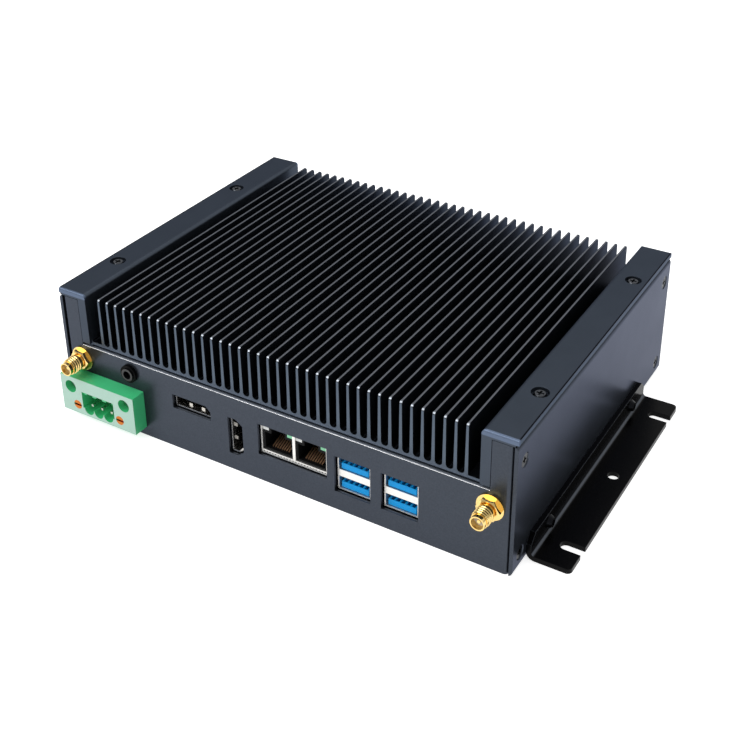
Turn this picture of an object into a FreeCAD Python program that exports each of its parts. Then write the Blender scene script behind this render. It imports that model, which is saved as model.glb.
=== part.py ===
"""A fanless embedded computer: a finned heatsink over a folded sheet case, with mounting brackets.

Millimetres, +Z up. The origin is on the underside, at the middle of the case's width and depth.
The front with the ports faces -Y. The mainboard hangs upside down under the heatsink's base, so
the ports hang below the board and the processor on its top side gives its heat to the base.
"""
import FreeCAD, Part
import Sketcher
import math
import os

DIMENSIONS = {
    # case
    "body_width": 200,
    "body_depth": 150,
    "body_height": 57,
    "sheet_thickness": 1.4,
    "bend_radius": 0.6,
    "panel_bend_radius": 0.3,
    "panel_gap": 0.4,
    "fit_gap": 0.2,
    "panel_top": 33.4,
    "return_depth": 9.6,
    "return_trim": 3,
    "tray_flange_width": 7.6,
    "tray_flange_cutback": 17,
    # heatsink
    "base_bottom": 31.4,
    "base_thickness": 3.8,
    "rail_width": 13.5,
    "rail_wall": 3.8,
    "rail_flange": 2.9,
    "rail_edge_radius": 1.6,
    "rail_end_radius": 1,
    "rail_end_lift": 1.2,
    "rail_groove": 0.7,
    "rail_foot_radius": 1,
    "fin_pitch": 4.25,
    "fin_side_room": 5,
    "fin_tip_thickness": 0.9,
    "fin_root_thickness": 1.35,
    "fin_tip_radius": 0.3,
    "fin_drop": 1,
    "fin_corner_radius": 1.3,
    # screws that hold the heatsink and the panels
    "front_screw_inset": 29,
    "right_rear_screw_inset": 30.5,
    "left_rear_screw_inset": 39,
    "rail_screw_head_diameter": 5.4,
    "rail_screw_head_height": 1.4,
    "rail_screw_recess_diameter": 6.6,
    "rail_screw_recess_depth": 1.7,
    "screw_diameter": 3,
    "rail_screw_length": 6,
    "cross_width": 0.8,
    "cross_span": 2.8,
    "cross_depth": 0.8,
    "side_screw_inset": 6,
    "side_screw_low": 6.5,
    "side_screw_drop": 11.4,
    "side_screw_head_diameter": 5.2,
    "side_screw_recess": 0.35,
    "side_screw_diameter": 2.6,
    "side_screw_length": 4.4,
    # mounting brackets
    "bracket_length": 113,
    "bracket_front_inset": 11,
    "bracket_thickness": 2,
    "bracket_bend_radius": 1.4,
    "bracket_height": 10,
    "bracket_reach": 16.8,
    "bracket_chamfer": 3.5,
    "bracket_corner_radius": 2,
    "bracket_hole_reach": 10.6,
    "bracket_hole_diameter": 4.6,
    "bracket_slot_spacing": 90.5,
    "bracket_screw_spacing": 82,
    "bracket_screw_height": 6.1,
    "bracket_screw_head_diameter": 5.2,
    "bracket_screw_head_height": 1.6,
    "bracket_nut_diameter": 5.6,
    "bracket_nut_thickness": 2,
    # mainboard and what holds it
    "board_bottom": 25.2,
    "board_thickness": 1.6,
    "board_width": 123,
    "board_depth": 120,
    "board_middle_x": 9.5,
    "board_front_gap": 3.5,
    "board_hole_inset": 4,
    "standoff_across": 5.5,
    "board_screw_head_diameter": 4.8,
    "board_screw_head_height": 1.8,
    "board_screw_length": 5,
    # processor and its heat path
    "processor_width": 42,
    "processor_depth": 28,
    "processor_height": 2.4,
    "processor_step": 1,
    "die_inset": 7,
    "processor_from_front": 73.5,
    "pad_thickness": 0.5,
    "spreader_width": 70,
    "spreader_depth": 50,
    # memory, storage and radio, which hang under the board: x from its middle, y from its front edge
    "memory_x": 15.5,
    "memory_from_front": 33.5,
    "memory_module_width": 67.6,
    "memory_module_depth": 30,
    "memory_socket_depth": 7,
    "memory_socket_height": 5.2,
    "memory_arm_width": 3,
    "memory_arm_length": 24,
    "card_thickness": 1,
    "card_slot_depth": 3.5,
    "card_drop": 2.2,
    "chip_height": 1.2,
    "chip_margin": 4,
    "card_width": 22,
    "card_socket_depth": 6.5,
    "card_socket_height": 4.2,
    "storage_x": -39.5,
    "storage_from_front": 23.5,
    "storage_length": 80,
    "radio_x": 42.5,
    "radio_from_front": 73.5,
    "radio_length": 30,
    "card_screw_diameter": 2.4,
    "card_screw_head_diameter": 4.6,
    "card_screw_head_height": 1.2,
    "card_post_diameter": 4.4,
    # coin cell and lead headers, placed on the board in the same way
    "cell_diameter": 20,
    "cell_thickness": 3.2,
    "cell_x": -6.5,
    "cell_from_front": 95.5,
    "holder_wall": 1.6,
    "holder_floor": 1,
    "power_header_width": 6,
    "power_header_depth": 17,
    "power_header_height": 9,
    "power_header_x": -55.5,
    "power_header_from_front": 61.5,
    "jack_header_width": 5,
    "jack_header_depth": 8,
    "jack_header_height": 4.6,
    "jack_header_from_front": 31.5,
    # leads
    "power_lead_diameter": 2.2,
    "antenna_lead_diameter": 1.4,
    "jack_lead_diameter": 2,
    # ports on the board's front edge: x from the board's middle
    "port_proud": -0.9,
    "port_gap": 0.5,
    "port_wall": 0.6,
    "port_back_wall": 1.6,
    "stack_one_x": 26.6,
    "stack_two_x": 46.2,
    "stack_width": 14.2,
    "stack_drop": 1.8,
    "stack_depth": 17.5,
    "stack_mouth_height": 5.3,
    "stack_band": 3,
    "stack_tongue_width": 11.4,
    "stack_tongue_thickness": 2.4,
    "stack_tongue_setback": 0.6,
    "stack_tongue_lift": 0.3,
    "stack_slot_width": 1.3,
    "stack_slot_length": 4.6,
    "stack_slot_depth": 1.7,
    "stack_contact_count": 5,
    "stack_contact_pitch": 2.15,
    "stack_contact_width": 0.9,
    "stack_contact_length": 3.8,
    "stack_contact_height": 0.3,
    "network_x": 0.5,
    "network_width": 29.6,
    "network_height": 12.9,
    "network_depth": 21,
    "network_divider": 1.2,
    "network_sill": 1,
    "network_slit_count": 22,
    "network_slit_pitch": 1.3,
    "network_slit_width": 0.7,
    "network_slit_height": 0.4,
    "network_slit_depth": 0.8,
    "network_setback": 0.7,
    "plug_width": 11.8,
    "plug_height": 6.9,
    "plug_depth": 13,
    "plug_floor": 0.7,
    "latch_width": 6.2,
    "latch_height": 2.2,
    "light_width": 2.7,
    "light_height": 2,
    "light_depth": 4,
    "network_contact_setback": 1.6,
    "network_contact_count": 8,
    "network_contact_pitch": 1.02,
    "network_contact_width": 0.5,
    "network_contact_thickness": 0.4,
    "network_contact_rise": 3,
    "network_contact_run": 9.4,
    "wide_video_x": -46,
    "wide_video_width": 17.4,
    "wide_video_height": 5.1,
    "wide_video_drop": 0.8,
    "wide_video_chamfer": 1.9,
    "video_depth": 15,
    "video_tongue_thickness": 1.5,
    "video_tongue_margin": 1.6,
    "video_tongue_setback": 4,
    "video_spring_setback": 2.2,
    "video_spring_length": 2.6,
    "video_spring_width": 1.6,
    "video_spring_height": 0.8,
    "video_spring_spread": 3,
    "upright_video_x": -25.3,
    "upright_video_width": 5.8,
    "upright_video_height": 15.5,
    "upright_video_drop": 1.9,
    "upright_video_shoulder": 3.2,
    "upright_video_chamfer": 2.2,
    # round jack, x from the case's left side
    "jack_inset": 33.4,
    "jack_z": 27.7,
    "jack_barrel_diameter": 5.4,
    "jack_bore_diameter": 3.6,
    "jack_bore_depth": 14,
    "jack_proud": 1.9,
    "jack_body_diameter": 7,
    "jack_body_length": 13,
    "jack_nut_diameter": 7.6,
    "jack_nut_thickness": 1.2,
    # antenna connectors, x from the case's sides
    "antenna_inset": 9,
    "antenna_z": 27,
    "antenna_barrel_diameter": 6.2,
    "antenna_neck_diameter": 5.4,
    "antenna_neck_length": 0.6,
    "antenna_proud": 10.4,
    "antenna_collar_length": 1.7,
    "antenna_collar_diameter": 5.6,
    "antenna_bore_diameter": 4.6,
    "antenna_bore_depth": 6,
    "antenna_insulator_setback": 2.4,
    "antenna_pin_diameter": 1.3,
    "antenna_rear_length": 10,
    "antenna_shoulder_thickness": 2,
    "antenna_across": 8,
    "antenna_nut_thickness": 2.2,
    "antenna_nut_face": 7.6,
    "antenna_nut_chamfer": 0.6,
    "antenna_washer_diameter": 10.4,
    "antenna_washer_thickness": 0.8,
    # terminal header, x from the case's left side
    "terminal_inset": 20.4,
    "terminal_z": 12.5,
    "terminal_height": 16.8,
    "terminal_proud": 6.6,
    "terminal_body_wall": 2,
    "terminal_body_height": 15.4,
    "terminal_body_depth": 13,
    "terminal_mouth_margin": 1.36,
    "terminal_mouth_top": 2.8,
    "terminal_mouth_low": 4.75,
    "terminal_mouth_depth": 10,
    "terminal_scallop_diameter": 4.9,
    "terminal_rib_width": 2,
    "terminal_rib_height": 1.7,
    "terminal_rib_setback": 1,
    "terminal_pitch": 5.08,
    "terminal_pole_count": 3,
    "terminal_pin_side": 1,
    "terminal_pin_drop": 3.9,
    "terminal_pin_setback": 2,
    "terminal_tail_length": 4,
    "terminal_fixing_margin": 5.6,
    "terminal_flange_margin": 10.2,
    "terminal_fixing_lift": 3.65,
    "terminal_fixing_recess_diameter": 5.6,
    "terminal_fixing_seat": 1.6,
    "terminal_fixing_head_diameter": 5,
    "terminal_fixing_head_height": 1.8,
    "terminal_insert_margin": 5.6,
    "terminal_insert_drop": 4.2,
    "terminal_insert_diameter": 4,
    "terminal_insert_length": 5,
    "terminal_insert_slot": 0.9,
    "terminal_insert_slot_depth": 1,
}

doc = FreeCAD.newDocument("embedded_computer")
sheet = doc.addObject("Spreadsheet::Sheet", "Dims")
for row, (alias, number) in enumerate(DIMENSIONS.items(), start=1):
    sheet.set(f"A{row}", alias.replace("_", " "))
    sheet.set(f"B{row}", str(number))
    sheet.setAlias(f"B{row}", alias)
doc.recompute()

nodes = []


class Size:
    """A size as expression text. Arithmetic on sizes gives longer text, still bound to the sheet."""

    def __init__(self, text):
        self.text = text

    def __add__(self, other):
        return Size(f"({self.text} + {text_of(other)})")

    def __radd__(self, other):
        return Size(f"({text_of(other)} + {self.text})")

    def __sub__(self, other):
        return Size(f"({self.text} - {text_of(other)})")

    def __rsub__(self, other):
        return Size(f"({text_of(other)} - {self.text})")

    def __mul__(self, other):
        return Size(f"({self.text} * {text_of(other)})")

    def __rmul__(self, other):
        return Size(f"({text_of(other)} * {self.text})")

    def __truediv__(self, other):
        return Size(f"({self.text} / {text_of(other)})")

    def __neg__(self):
        return Size(f"(0 - {self.text})")


class SheetSizes:
    """Gives each alias of the sheet as a Size."""

    def __getattr__(self, alias):
        return Size(f"Dims.{alias}")


d = SheetSizes()


def text_of(size):
    """Expression text of a size or of a plain number."""
    return size.text if isinstance(size, Size) else f"({size})"


def number_of(size):
    """Present value of a size, for counts, first positions and shapes set in code."""
    return float(sheet.evalExpression(text_of(size)))


def whole(size):
    """The whole number just under a size."""
    return Size(f"floor({text_of(size)})")


def bind(thing, **sizes):
    """Ties properties to sizes."""
    for name, size in sizes.items():
        thing.setExpression(name, text_of(size))


def place(thing, point):
    """Ties the placement's base to a point of three sizes."""
    for axis, size in zip("xyz", point):
        thing.setExpression(f"Placement.Base.{axis}", text_of(size))


def centred(middle, width):
    """The span of a width about a middle."""
    return (middle - width / 2, middle + width / 2)


def point_along(axis):
    """Rotation that takes a primitive's own Z to the given axis."""
    turns = {"x": ((0, 1, 0), 90), "y": ((1, 0, 0), -90), "-y": ((1, 0, 0), 90), "-x": ((0, 1, 0), -90),
             "z": ((0, 0, 1), 0), "-z": ((1, 0, 0), 180)}
    about, degrees = turns[axis]
    return FreeCAD.Placement(FreeCAD.Vector(), FreeCAD.Rotation(FreeCAD.Vector(*about), degrees))


def box(label, x, y, z):
    """A block from its spans along x, y and z, each a (low, high) pair."""
    solid = doc.addObject("Part::Box", label)
    bind(solid, Length=x[1] - x[0], Width=y[1] - y[0], Height=z[1] - z[0])
    place(solid, (x[0], y[0], z[0]))
    return solid


def rod(label, diameter, length, start, axis):
    """A cylinder from the middle of its first end, along an axis."""
    solid = doc.addObject("Part::Cylinder", label)
    solid.Placement = point_along(axis)
    bind(solid, Radius=diameter / 2, Height=length)
    place(solid, start)
    return solid


def cone(label, first_diameter, last_diameter, length, start, axis):
    """A cut cone from the middle of its first end, along an axis."""
    solid = doc.addObject("Part::Cone", label)
    solid.Placement = point_along(axis)
    bind(solid, Radius1=first_diameter / 2, Radius2=last_diameter / 2, Height=length)
    place(solid, start)
    return solid


def hexagon(label, across, length, start, axis):
    """A hexagon bar from its size across flats, along an axis."""
    solid = doc.addObject("Part::Prism", label)
    solid.Polygon = 6
    solid.Placement = point_along(axis)
    bind(solid, Circumradius=across / math.sqrt(3), Height=length)
    place(solid, start)
    return solid


def fuse(label, *parts):
    """One solid from several."""
    solid = doc.addObject("Part::MultiFuse", label)
    solid.Shapes = list(parts)
    solid.Refine = True
    return solid


def cut(label, base, *tools):
    """A base with one or more tools taken away."""
    solid = doc.addObject("Part::Cut", label)
    solid.Base = base
    solid.Tool = tools[0] if len(tools) == 1 else fuse(f"{label}_tools", *tools)
    return solid


def group(label, parts):
    """Separate solids of one kind that share a node."""
    solids = doc.addObject("Part::Compound", label)
    solids.Links = list(parts)
    return solids


def keep(thing):
    """Lists a finished sub-part, whose label names its file."""
    nodes.append(thing)
    return thing


def new_sketch(body, role, label, height=None):
    """A sketch on one of the body's own origin planes, or at a height above it."""
    sketch = body.newObject("Sketcher::SketchObject", label)
    plane = next(feature for feature in body.Origin.OriginFeatures if feature.Role == role)
    sketch.AttachmentSupport = (plane, [""])
    sketch.MapMode = "FlatFace"
    if height is not None:
        sketch.setExpression("AttachmentOffset.Base.z", text_of(height))
    return sketch


def pin(sketch, geometry, position, u=None, v=None):
    """Ties a point of the sketch to its coordinates."""
    for kind, size in (("DistanceX", u), ("DistanceY", v)):
        if size is not None:
            row = sketch.addConstraint(Sketcher.Constraint(kind, geometry, position, number_of(size)))
            sketch.setExpression(f"Constraints[{row}]", text_of(size))


def outline(sketch, corners, arcs=None):
    """A closed outline through corners. Side i is an arc where arcs gives its centre, else straight."""
    arcs = arcs or {}
    spots = [FreeCAD.Vector(number_of(u), number_of(v), 0) for u, v in corners]
    first = sketch.GeometryCount
    ends = []
    for side, start in enumerate(spots):
        finish = spots[(side + 1) % len(spots)]
        if side not in arcs:
            sketch.addGeometry(Part.LineSegment(start, finish))
            ends.append((1, 2))
            continue
        centre = FreeCAD.Vector(*(number_of(size) for size in arcs[side]), 0)
        from_angle = math.atan2(start.y - centre.y, start.x - centre.x)
        to_angle = math.atan2(finish.y - centre.y, finish.x - centre.x)
        leftward = (to_angle - from_angle) % (2 * math.pi) <= math.pi + 1e-6
        circle = Part.Circle(centre, FreeCAD.Vector(0, 0, 1), (start - centre).Length)
        span = (from_angle, to_angle) if leftward else (to_angle, from_angle)
        sketch.addGeometry(Part.ArcOfCircle(circle, *span))
        ends.append((1, 2) if leftward else (2, 1))
    for side, (u, v) in enumerate(corners):
        following = (side + 1) % len(corners)
        sketch.addConstraint(Sketcher.Constraint(
            "Coincident", first + side, ends[side][1], first + following, ends[following][0]))
        pin(sketch, first + side, ends[side][0], u, v)
    for side, (u, v) in arcs.items():
        chord = spots[(side + 1) % len(spots)] - spots[side]
        if abs(chord.x) > abs(chord.y):
            pin(sketch, first + side, 3, v=v)
        else:
            pin(sketch, first + side, 3, u=u)


def rectangle(sketch, u, v):
    """A rectangle from its spans."""
    outline(sketch, [(u[0], v[0]), (u[1], v[0]), (u[1], v[1]), (u[0], v[1])])


def circle(sketch, diameter, u, v):
    """A circle of a bound diameter at a bound centre."""
    centre = FreeCAD.Vector(number_of(u), number_of(v), 0)
    ring = Part.Circle(centre, FreeCAD.Vector(0, 0, 1), number_of(diameter) / 2)
    geometry = sketch.addGeometry(ring)
    row = sketch.addConstraint(Sketcher.Constraint("Diameter", geometry, number_of(diameter)))
    sketch.setExpression(f"Constraints[{row}]", text_of(diameter))
    pin(sketch, geometry, 3, u, v)


def feature(body, kind, sketch, length=None, symmetric=False, reverse=False):
    """A Pad or Pocket of a sketch: of a length, or through everything where none is given."""
    step = body.newObject(f"PartDesign::{kind}", f"{sketch.Label}_{kind.lower()}")
    step.Profile = sketch
    step.Reversed = reverse
    if symmetric:
        step.SideType = "Symmetric"
    if length is None:
        step.Type = "ThroughAll"
    else:
        bind(step, Length=length)
    doc.recompute()
    return step


def mirrored(body, step, role):
    """The same step again on the other side of one of the body's origin planes."""
    twin = body.newObject("PartDesign::Mirrored", f"{step.Label}_mirrored")
    twin.Originals = [step]
    plane = next(item for item in body.Origin.OriginFeatures if item.Role == role)
    twin.MirrorPlane = (plane, [""])
    body.Tip = twin
    doc.recompute()
    return twin


def rounded(body, radius, chosen):
    """A fillet on the straight edges of the body whose middle point passes a test."""
    base = body.Tip
    names = [f"Edge{count}" for count, edge in enumerate(base.Shape.Edges, start=1)
             if len(edge.Vertexes) == 2 and chosen(edge)]
    step = body.newObject("PartDesign::Fillet", f"{body.Label}_fillet")
    step.Base = (base, names)
    bind(step, Radius=radius)
    doc.recompute()
    return step


# Planes and lines that many pieces share
half_width = d.body_width / 2
half_depth = d.body_depth / 2
sheet_in = half_width - d.sheet_thickness
flange_bottom = d.body_height - d.rail_flange
rail_inner = half_width - d.rail_width
wall_outer = rail_inner + d.rail_wall
fin_top = d.body_height - d.fin_drop
slot_bottom = d.base_bottom + d.base_thickness
fin_count = whole((2 * rail_inner - 2 * d.fin_side_room) / d.fin_pitch) + 1
first_fin = -d.fin_pitch * (fin_count - 1) / 2
panel_face = -half_depth
panel_back = panel_face + d.sheet_thickness
port_face = panel_face - d.port_proud
board_top = d.board_bottom + d.board_thickness
board_left = d.board_middle_x - d.board_width / 2
board_front = panel_face + d.board_front_gap
rail_screw_x = (wall_outer + sheet_in) / 2
front_screw_y = panel_face + d.front_screw_inset
rail_screw_spots = [(rail_screw_x, front_screw_y), (rail_screw_x, half_depth - d.right_rear_screw_inset),
                    (-rail_screw_x, front_screw_y), (-rail_screw_x, half_depth - d.left_rear_screw_inset)]
side_screw_y = half_depth - d.side_screw_inset
side_screw_heights = (d.side_screw_low, d.body_height - d.side_screw_drop)
side_screw_sink = (d.side_screw_head_diameter - d.side_screw_diameter) / 2
side_screw_spots = [(side, end * side_screw_y, height) for side in (1, -1) for end in (-1, 1)
                    for height in side_screw_heights]
bracket_middle_y = panel_face + d.bracket_front_inset + d.bracket_length / 2
bracket_screw_spots = [(side, bracket_middle_y + end * d.bracket_screw_spacing / 2)
                       for side in (1, -1) for end in (-1, 1)]
stack_middles = [d.board_middle_x + d.stack_one_x, d.board_middle_x + d.stack_two_x]
network_x = d.board_middle_x + d.network_x
wide_video_x = d.board_middle_x + d.wide_video_x
upright_video_x = d.board_middle_x + d.upright_video_x
power_header_x = d.board_middle_x + d.power_header_x
power_header_y = board_front + d.power_header_from_front
jack_header_y = board_front + d.jack_header_from_front
radio_x = d.board_middle_x + d.radio_x
radio_front = board_front + d.radio_from_front
jack_x = d.jack_inset - half_width
antenna_x = half_width - d.antenna_inset
terminal_x = d.terminal_inset - half_width
terminal_mouth_width = d.terminal_pole_count * d.terminal_pitch + d.terminal_mouth_margin
terminal_body_width = terminal_mouth_width + 2 * d.terminal_body_wall
terminal_insert_spacing = terminal_mouth_width + d.terminal_insert_margin
terminal_fixing_spacing = terminal_insert_spacing + d.terminal_fixing_margin
stack_top = d.board_bottom - d.stack_drop
stack_low = stack_top - 2 * d.stack_mouth_height - d.stack_band - 2 * d.port_wall


def make_heatsink():
    """The extrusion: base, tapered fins with rounded tips and round-bottomed slots, and two rails."""
    body = doc.addObject("PartDesign::Body", "heatsink")
    length = d.body_depth
    section = new_sketch(body, "XZ_Plane", "extrusion_section")
    groove_in, groove_top = half_width - d.rail_groove, flange_bottom + d.rail_groove
    outline(section, [(-wall_outer, d.base_bottom), (wall_outer, d.base_bottom),
                      (wall_outer, flange_bottom), (groove_in, flange_bottom), (groove_in, groove_top),
                      (half_width, groove_top), (half_width, d.body_height), (-half_width, d.body_height),
                      (-half_width, groove_top), (-groove_in, groove_top), (-groove_in, flange_bottom),
                      (-wall_outer, flange_bottom)])
    feature(body, "Pad", section, length, symmetric=True)

    valley = new_sketch(body, "XZ_Plane", "valley_between_rails")
    lip = d.rail_edge_radius
    outline(valley, [(-rail_inner, fin_top), (rail_inner, fin_top), (rail_inner, d.body_height - lip),
                     (rail_inner + lip, d.body_height), (-rail_inner - lip, d.body_height),
                     (-rail_inner, d.body_height - lip)],
            {2: (rail_inner + lip, d.body_height - lip), 4: (-rail_inner - lip, d.body_height - lip)})
    feature(body, "Pocket", valley, length, symmetric=True)

    gap = new_sketch(body, "XZ_Plane", "gap_beside_rail")
    foot = d.rail_foot_radius
    tip = d.fin_tip_radius
    last_edge = -first_fin + d.fin_tip_thickness / 2
    outline(gap, [(-first_fin + d.fin_root_thickness / 2, slot_bottom), (rail_inner - foot, slot_bottom),
                  (rail_inner, slot_bottom + foot), (rail_inner, fin_top),
                  (last_edge - tip, fin_top), (last_edge, fin_top - tip)],
            {1: (rail_inner - foot, slot_bottom + foot), 4: (last_edge - tip, fin_top - tip)})
    mirrored(body, feature(body, "Pocket", gap, length, symmetric=True), "YZ_Plane")

    slot = new_sketch(body, "XZ_Plane", "fin_slot")
    middle = first_fin + d.fin_pitch / 2
    half_root = (d.fin_pitch - d.fin_root_thickness) / 2
    half_tip = (d.fin_pitch - d.fin_tip_thickness) / 2
    round_top = slot_bottom + half_root
    low_tip = fin_top - tip
    outline(slot, [(middle - half_root, round_top), (middle + half_root, round_top),
                   (middle + half_tip, low_tip), (middle + half_tip + tip, fin_top),
                   (middle - half_tip - tip, fin_top), (middle - half_tip, low_tip)],
            {0: (middle, round_top), 2: (middle + half_tip + tip, low_tip),
             4: (middle - half_tip - tip, low_tip)})
    first_slot = feature(body, "Pocket", slot, length, symmetric=True)
    slots = body.newObject("PartDesign::LinearPattern", "fin_slots")
    slots.Originals = [first_slot]
    slots.Direction = (slot, ["H_Axis"])
    bind(slots, Length=d.fin_pitch * (fin_count - 2), Occurrences=fin_count - 1)
    body.Tip = slots
    doc.recompute()

    # the ends are milled back for the panels, all but the rails, whose ends lie flush with the panels' ears
    end = -half_depth + d.sheet_thickness
    milled = new_sketch(body, "XZ_Plane", "milled_end", half_depth)
    lift = d.panel_top + d.rail_end_lift
    outline(milled, [(-half_width, d.base_bottom), (half_width, d.base_bottom), (half_width, flange_bottom),
                     (wall_outer, flange_bottom), (wall_outer, lift), (rail_inner, lift),
                     (rail_inner, d.body_height), (-rail_inner, d.body_height), (-rail_inner, lift),
                     (-wall_outer, lift), (-wall_outer, flange_bottom), (-half_width, flange_bottom)])
    mirrored(body, feature(body, "Pocket", milled, d.sheet_thickness), "XZ_Plane")

    edge = new_sketch(body, "YZ_Plane", "rail_end_edge")
    turn = d.rail_end_radius
    outline(edge, [(-half_depth, d.body_height - turn), (turn - half_depth, d.body_height),
                   (-half_depth, d.body_height)], {0: (turn - half_depth, d.body_height - turn)})
    mirrored(body, feature(body, "Pocket", edge, d.body_width, symmetric=True), "XZ_Plane")

    corner = new_sketch(body, "YZ_Plane", "fin_corner")
    radius = d.fin_corner_radius
    outline(corner, [(end, fin_top - radius), (end + radius, fin_top), (end, fin_top)],
            {0: (end + radius, fin_top - radius)})
    mirrored(body, feature(body, "Pocket", corner, 2 * rail_inner, symmetric=True), "XZ_Plane")

    recess = new_sketch(body, "XY_Plane", "screw_recess", d.body_height)
    shaft = new_sketch(body, "XY_Plane", "screw_shaft", d.body_height)
    for x, y in rail_screw_spots:
        circle(recess, d.rail_screw_recess_diameter, x, y)
        circle(shaft, d.screw_diameter + d.fit_gap, x, y)
    feature(body, "Pocket", recess, d.rail_screw_recess_depth)
    feature(body, "Pocket", shaft, d.rail_flange)
    keep(body)


def make_chassis():
    """The folded tray: bottom, two sides, and inward flanges that carry the heatsink's rails."""
    tray = doc.addObject("PartDesign::Body", "tray")
    inner = d.bend_radius
    outer = inner + d.sheet_thickness
    top = flange_bottom
    lip = sheet_in - d.tray_flange_width
    bend = half_width - outer
    zero = 0 * outer
    outside = [(-lip, top), (-bend, top), (-half_width, top - outer), (-half_width, outer), (-bend, zero),
               (bend, zero), (half_width, outer), (half_width, top - outer), (bend, top), (lip, top)]
    inside = [(lip, top - d.sheet_thickness), (bend, top - d.sheet_thickness), (sheet_in, top - outer),
              (sheet_in, outer), (bend, d.sheet_thickness), (-bend, d.sheet_thickness), (-sheet_in, outer),
              (-sheet_in, top - outer), (-bend, top - d.sheet_thickness), (-lip, top - d.sheet_thickness)]
    left_top, left_low = (-bend, top - outer), (-bend, outer)
    right_top, right_low = (bend, top - outer), (bend, outer)
    section = new_sketch(tray, "XZ_Plane", "tray_section")
    outline(section, outside + inside, {1: left_top, 3: left_low, 5: right_low, 7: right_top,
                                        11: right_top, 13: right_low, 15: left_low, 17: left_top})
    feature(tray, "Pad", section, d.body_depth, symmetric=True)

    ends = new_sketch(tray, "XY_Plane", "flange_ends", top)
    bottom = new_sketch(tray, "XY_Plane", "bottom_ends")
    for end in (-1, 1):
        rectangle(ends, (-sheet_in, sheet_in), (end * (half_depth - d.tray_flange_cutback), end * half_depth))
        panel_room = half_depth - d.sheet_thickness - d.fit_gap
        rectangle(bottom, (-sheet_in, sheet_in), (end * panel_room, end * half_depth))
    feature(tray, "Pocket", ends, 2 * outer)
    feature(tray, "Pocket", bottom, 2 * outer, reverse=True)

    tools = []
    for count, (side, y, z) in enumerate(side_screw_spots):
        inward = "-x" if side > 0 else "x"
        start = (side * half_width, y, z)
        mouth = d.side_screw_head_diameter + 2 * d.side_screw_recess
        tools.append(cone(f"countersink_{count}", mouth, d.side_screw_diameter,
                          side_screw_sink + d.side_screw_recess, start, inward))
        tools.append(rod(f"side_hole_{count}", d.side_screw_diameter, 2 * d.sheet_thickness, start, inward))
    for count, (side, y) in enumerate(bracket_screw_spots):
        tools.append(rod(f"bracket_side_hole_{count}", d.screw_diameter, 4 * d.sheet_thickness,
                         (side * half_width + 2 * side * d.sheet_thickness, y, d.bracket_screw_height),
                         "-x" if side > 0 else "x"))
    for count, (x, y) in enumerate(rail_screw_spots):
        tools.append(rod(f"flange_hole_{count}", d.screw_diameter, 4 * d.sheet_thickness,
                         (x, y, top - 2 * d.sheet_thickness), "z"))
    keep(cut("chassis", tray, *tools))


def end_panel(label, facing):
    """A panel of the tray's sheet: a strip below the fins, two ears, and folded returns at its sides.

    facing is -1 for the front and 1 for the rear.
    """
    body = doc.addObject("PartDesign::Body", label)
    half = sheet_in - d.panel_gap
    outer = d.panel_bend_radius + d.sheet_thickness
    face = facing * half_depth
    back = face - facing * d.sheet_thickness
    bend_x, bend_y = half - outer, face - facing * outer
    tip = face - facing * (outer + d.return_depth)
    inside = half - d.sheet_thickness
    section = new_sketch(body, "XY_Plane", f"{label}_section")
    outline(section, [(-half, tip), (-half, bend_y), (-bend_x, face), (bend_x, face), (half, bend_y),
                      (half, tip), (inside, tip), (inside, bend_y), (bend_x, back), (-bend_x, back),
                      (-inside, bend_y), (-inside, tip)],
            {1: (-bend_x, bend_y), 3: (bend_x, bend_y), 7: (bend_x, bend_y), 9: (-bend_x, bend_y)})
    top = flange_bottom - d.fit_gap
    feature(body, "Pad", section, top)

    window = new_sketch(body, "XZ_Plane", f"{label}_window")
    opening = wall_outer + d.fit_gap
    rectangle(window, (-opening, opening), (d.panel_top, d.body_height))
    feature(body, "Pocket", window, 2 * d.body_depth, symmetric=True)

    trims = new_sketch(body, "YZ_Plane", f"{label}_return_trims")
    rectangle(trims, (back, tip), (-d.return_trim, d.return_trim))
    rectangle(trims, (back, tip), (top - d.return_trim, top + d.return_trim))
    feature(body, "Pocket", trims, 2 * d.body_width, symmetric=True)

    holes = new_sketch(body, "YZ_Plane", f"{label}_screw_holes")
    for height in side_screw_heights:
        circle(holes, d.side_screw_diameter, facing * side_screw_y, height)
    feature(body, "Pocket", holes, 2 * d.body_width, symmetric=True)
    return body


def video_corners(label, wall):
    """Outline of a video port's shell, drawn in by a wall, as seen from the front."""
    if label == "wide_video":
        low = d.board_bottom - d.wide_video_drop - d.wide_video_height
        left = wide_video_x - d.wide_video_width / 2
        right, high = left + d.wide_video_width - wall, low + d.wide_video_height - wall
        chamfer = d.wide_video_chamfer - wall * (2 - math.sqrt(2))
        return [(left + wall, low + wall), (right, low + wall), (right, high - chamfer),
                (right - chamfer, high), (left + wall, high)]
    high = d.board_bottom - d.upright_video_drop
    low = high - d.upright_video_height
    left = upright_video_x - d.upright_video_width / 2
    shoulder = left + d.upright_video_shoulder
    right = left + d.upright_video_width - wall
    step = d.upright_video_chamfer + wall
    return [(left + wall, low + wall), (shoulder, low + wall), (right, low + step),
            (right, high - step), (shoulder, high - wall), (left + wall, high - wall)]


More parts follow.
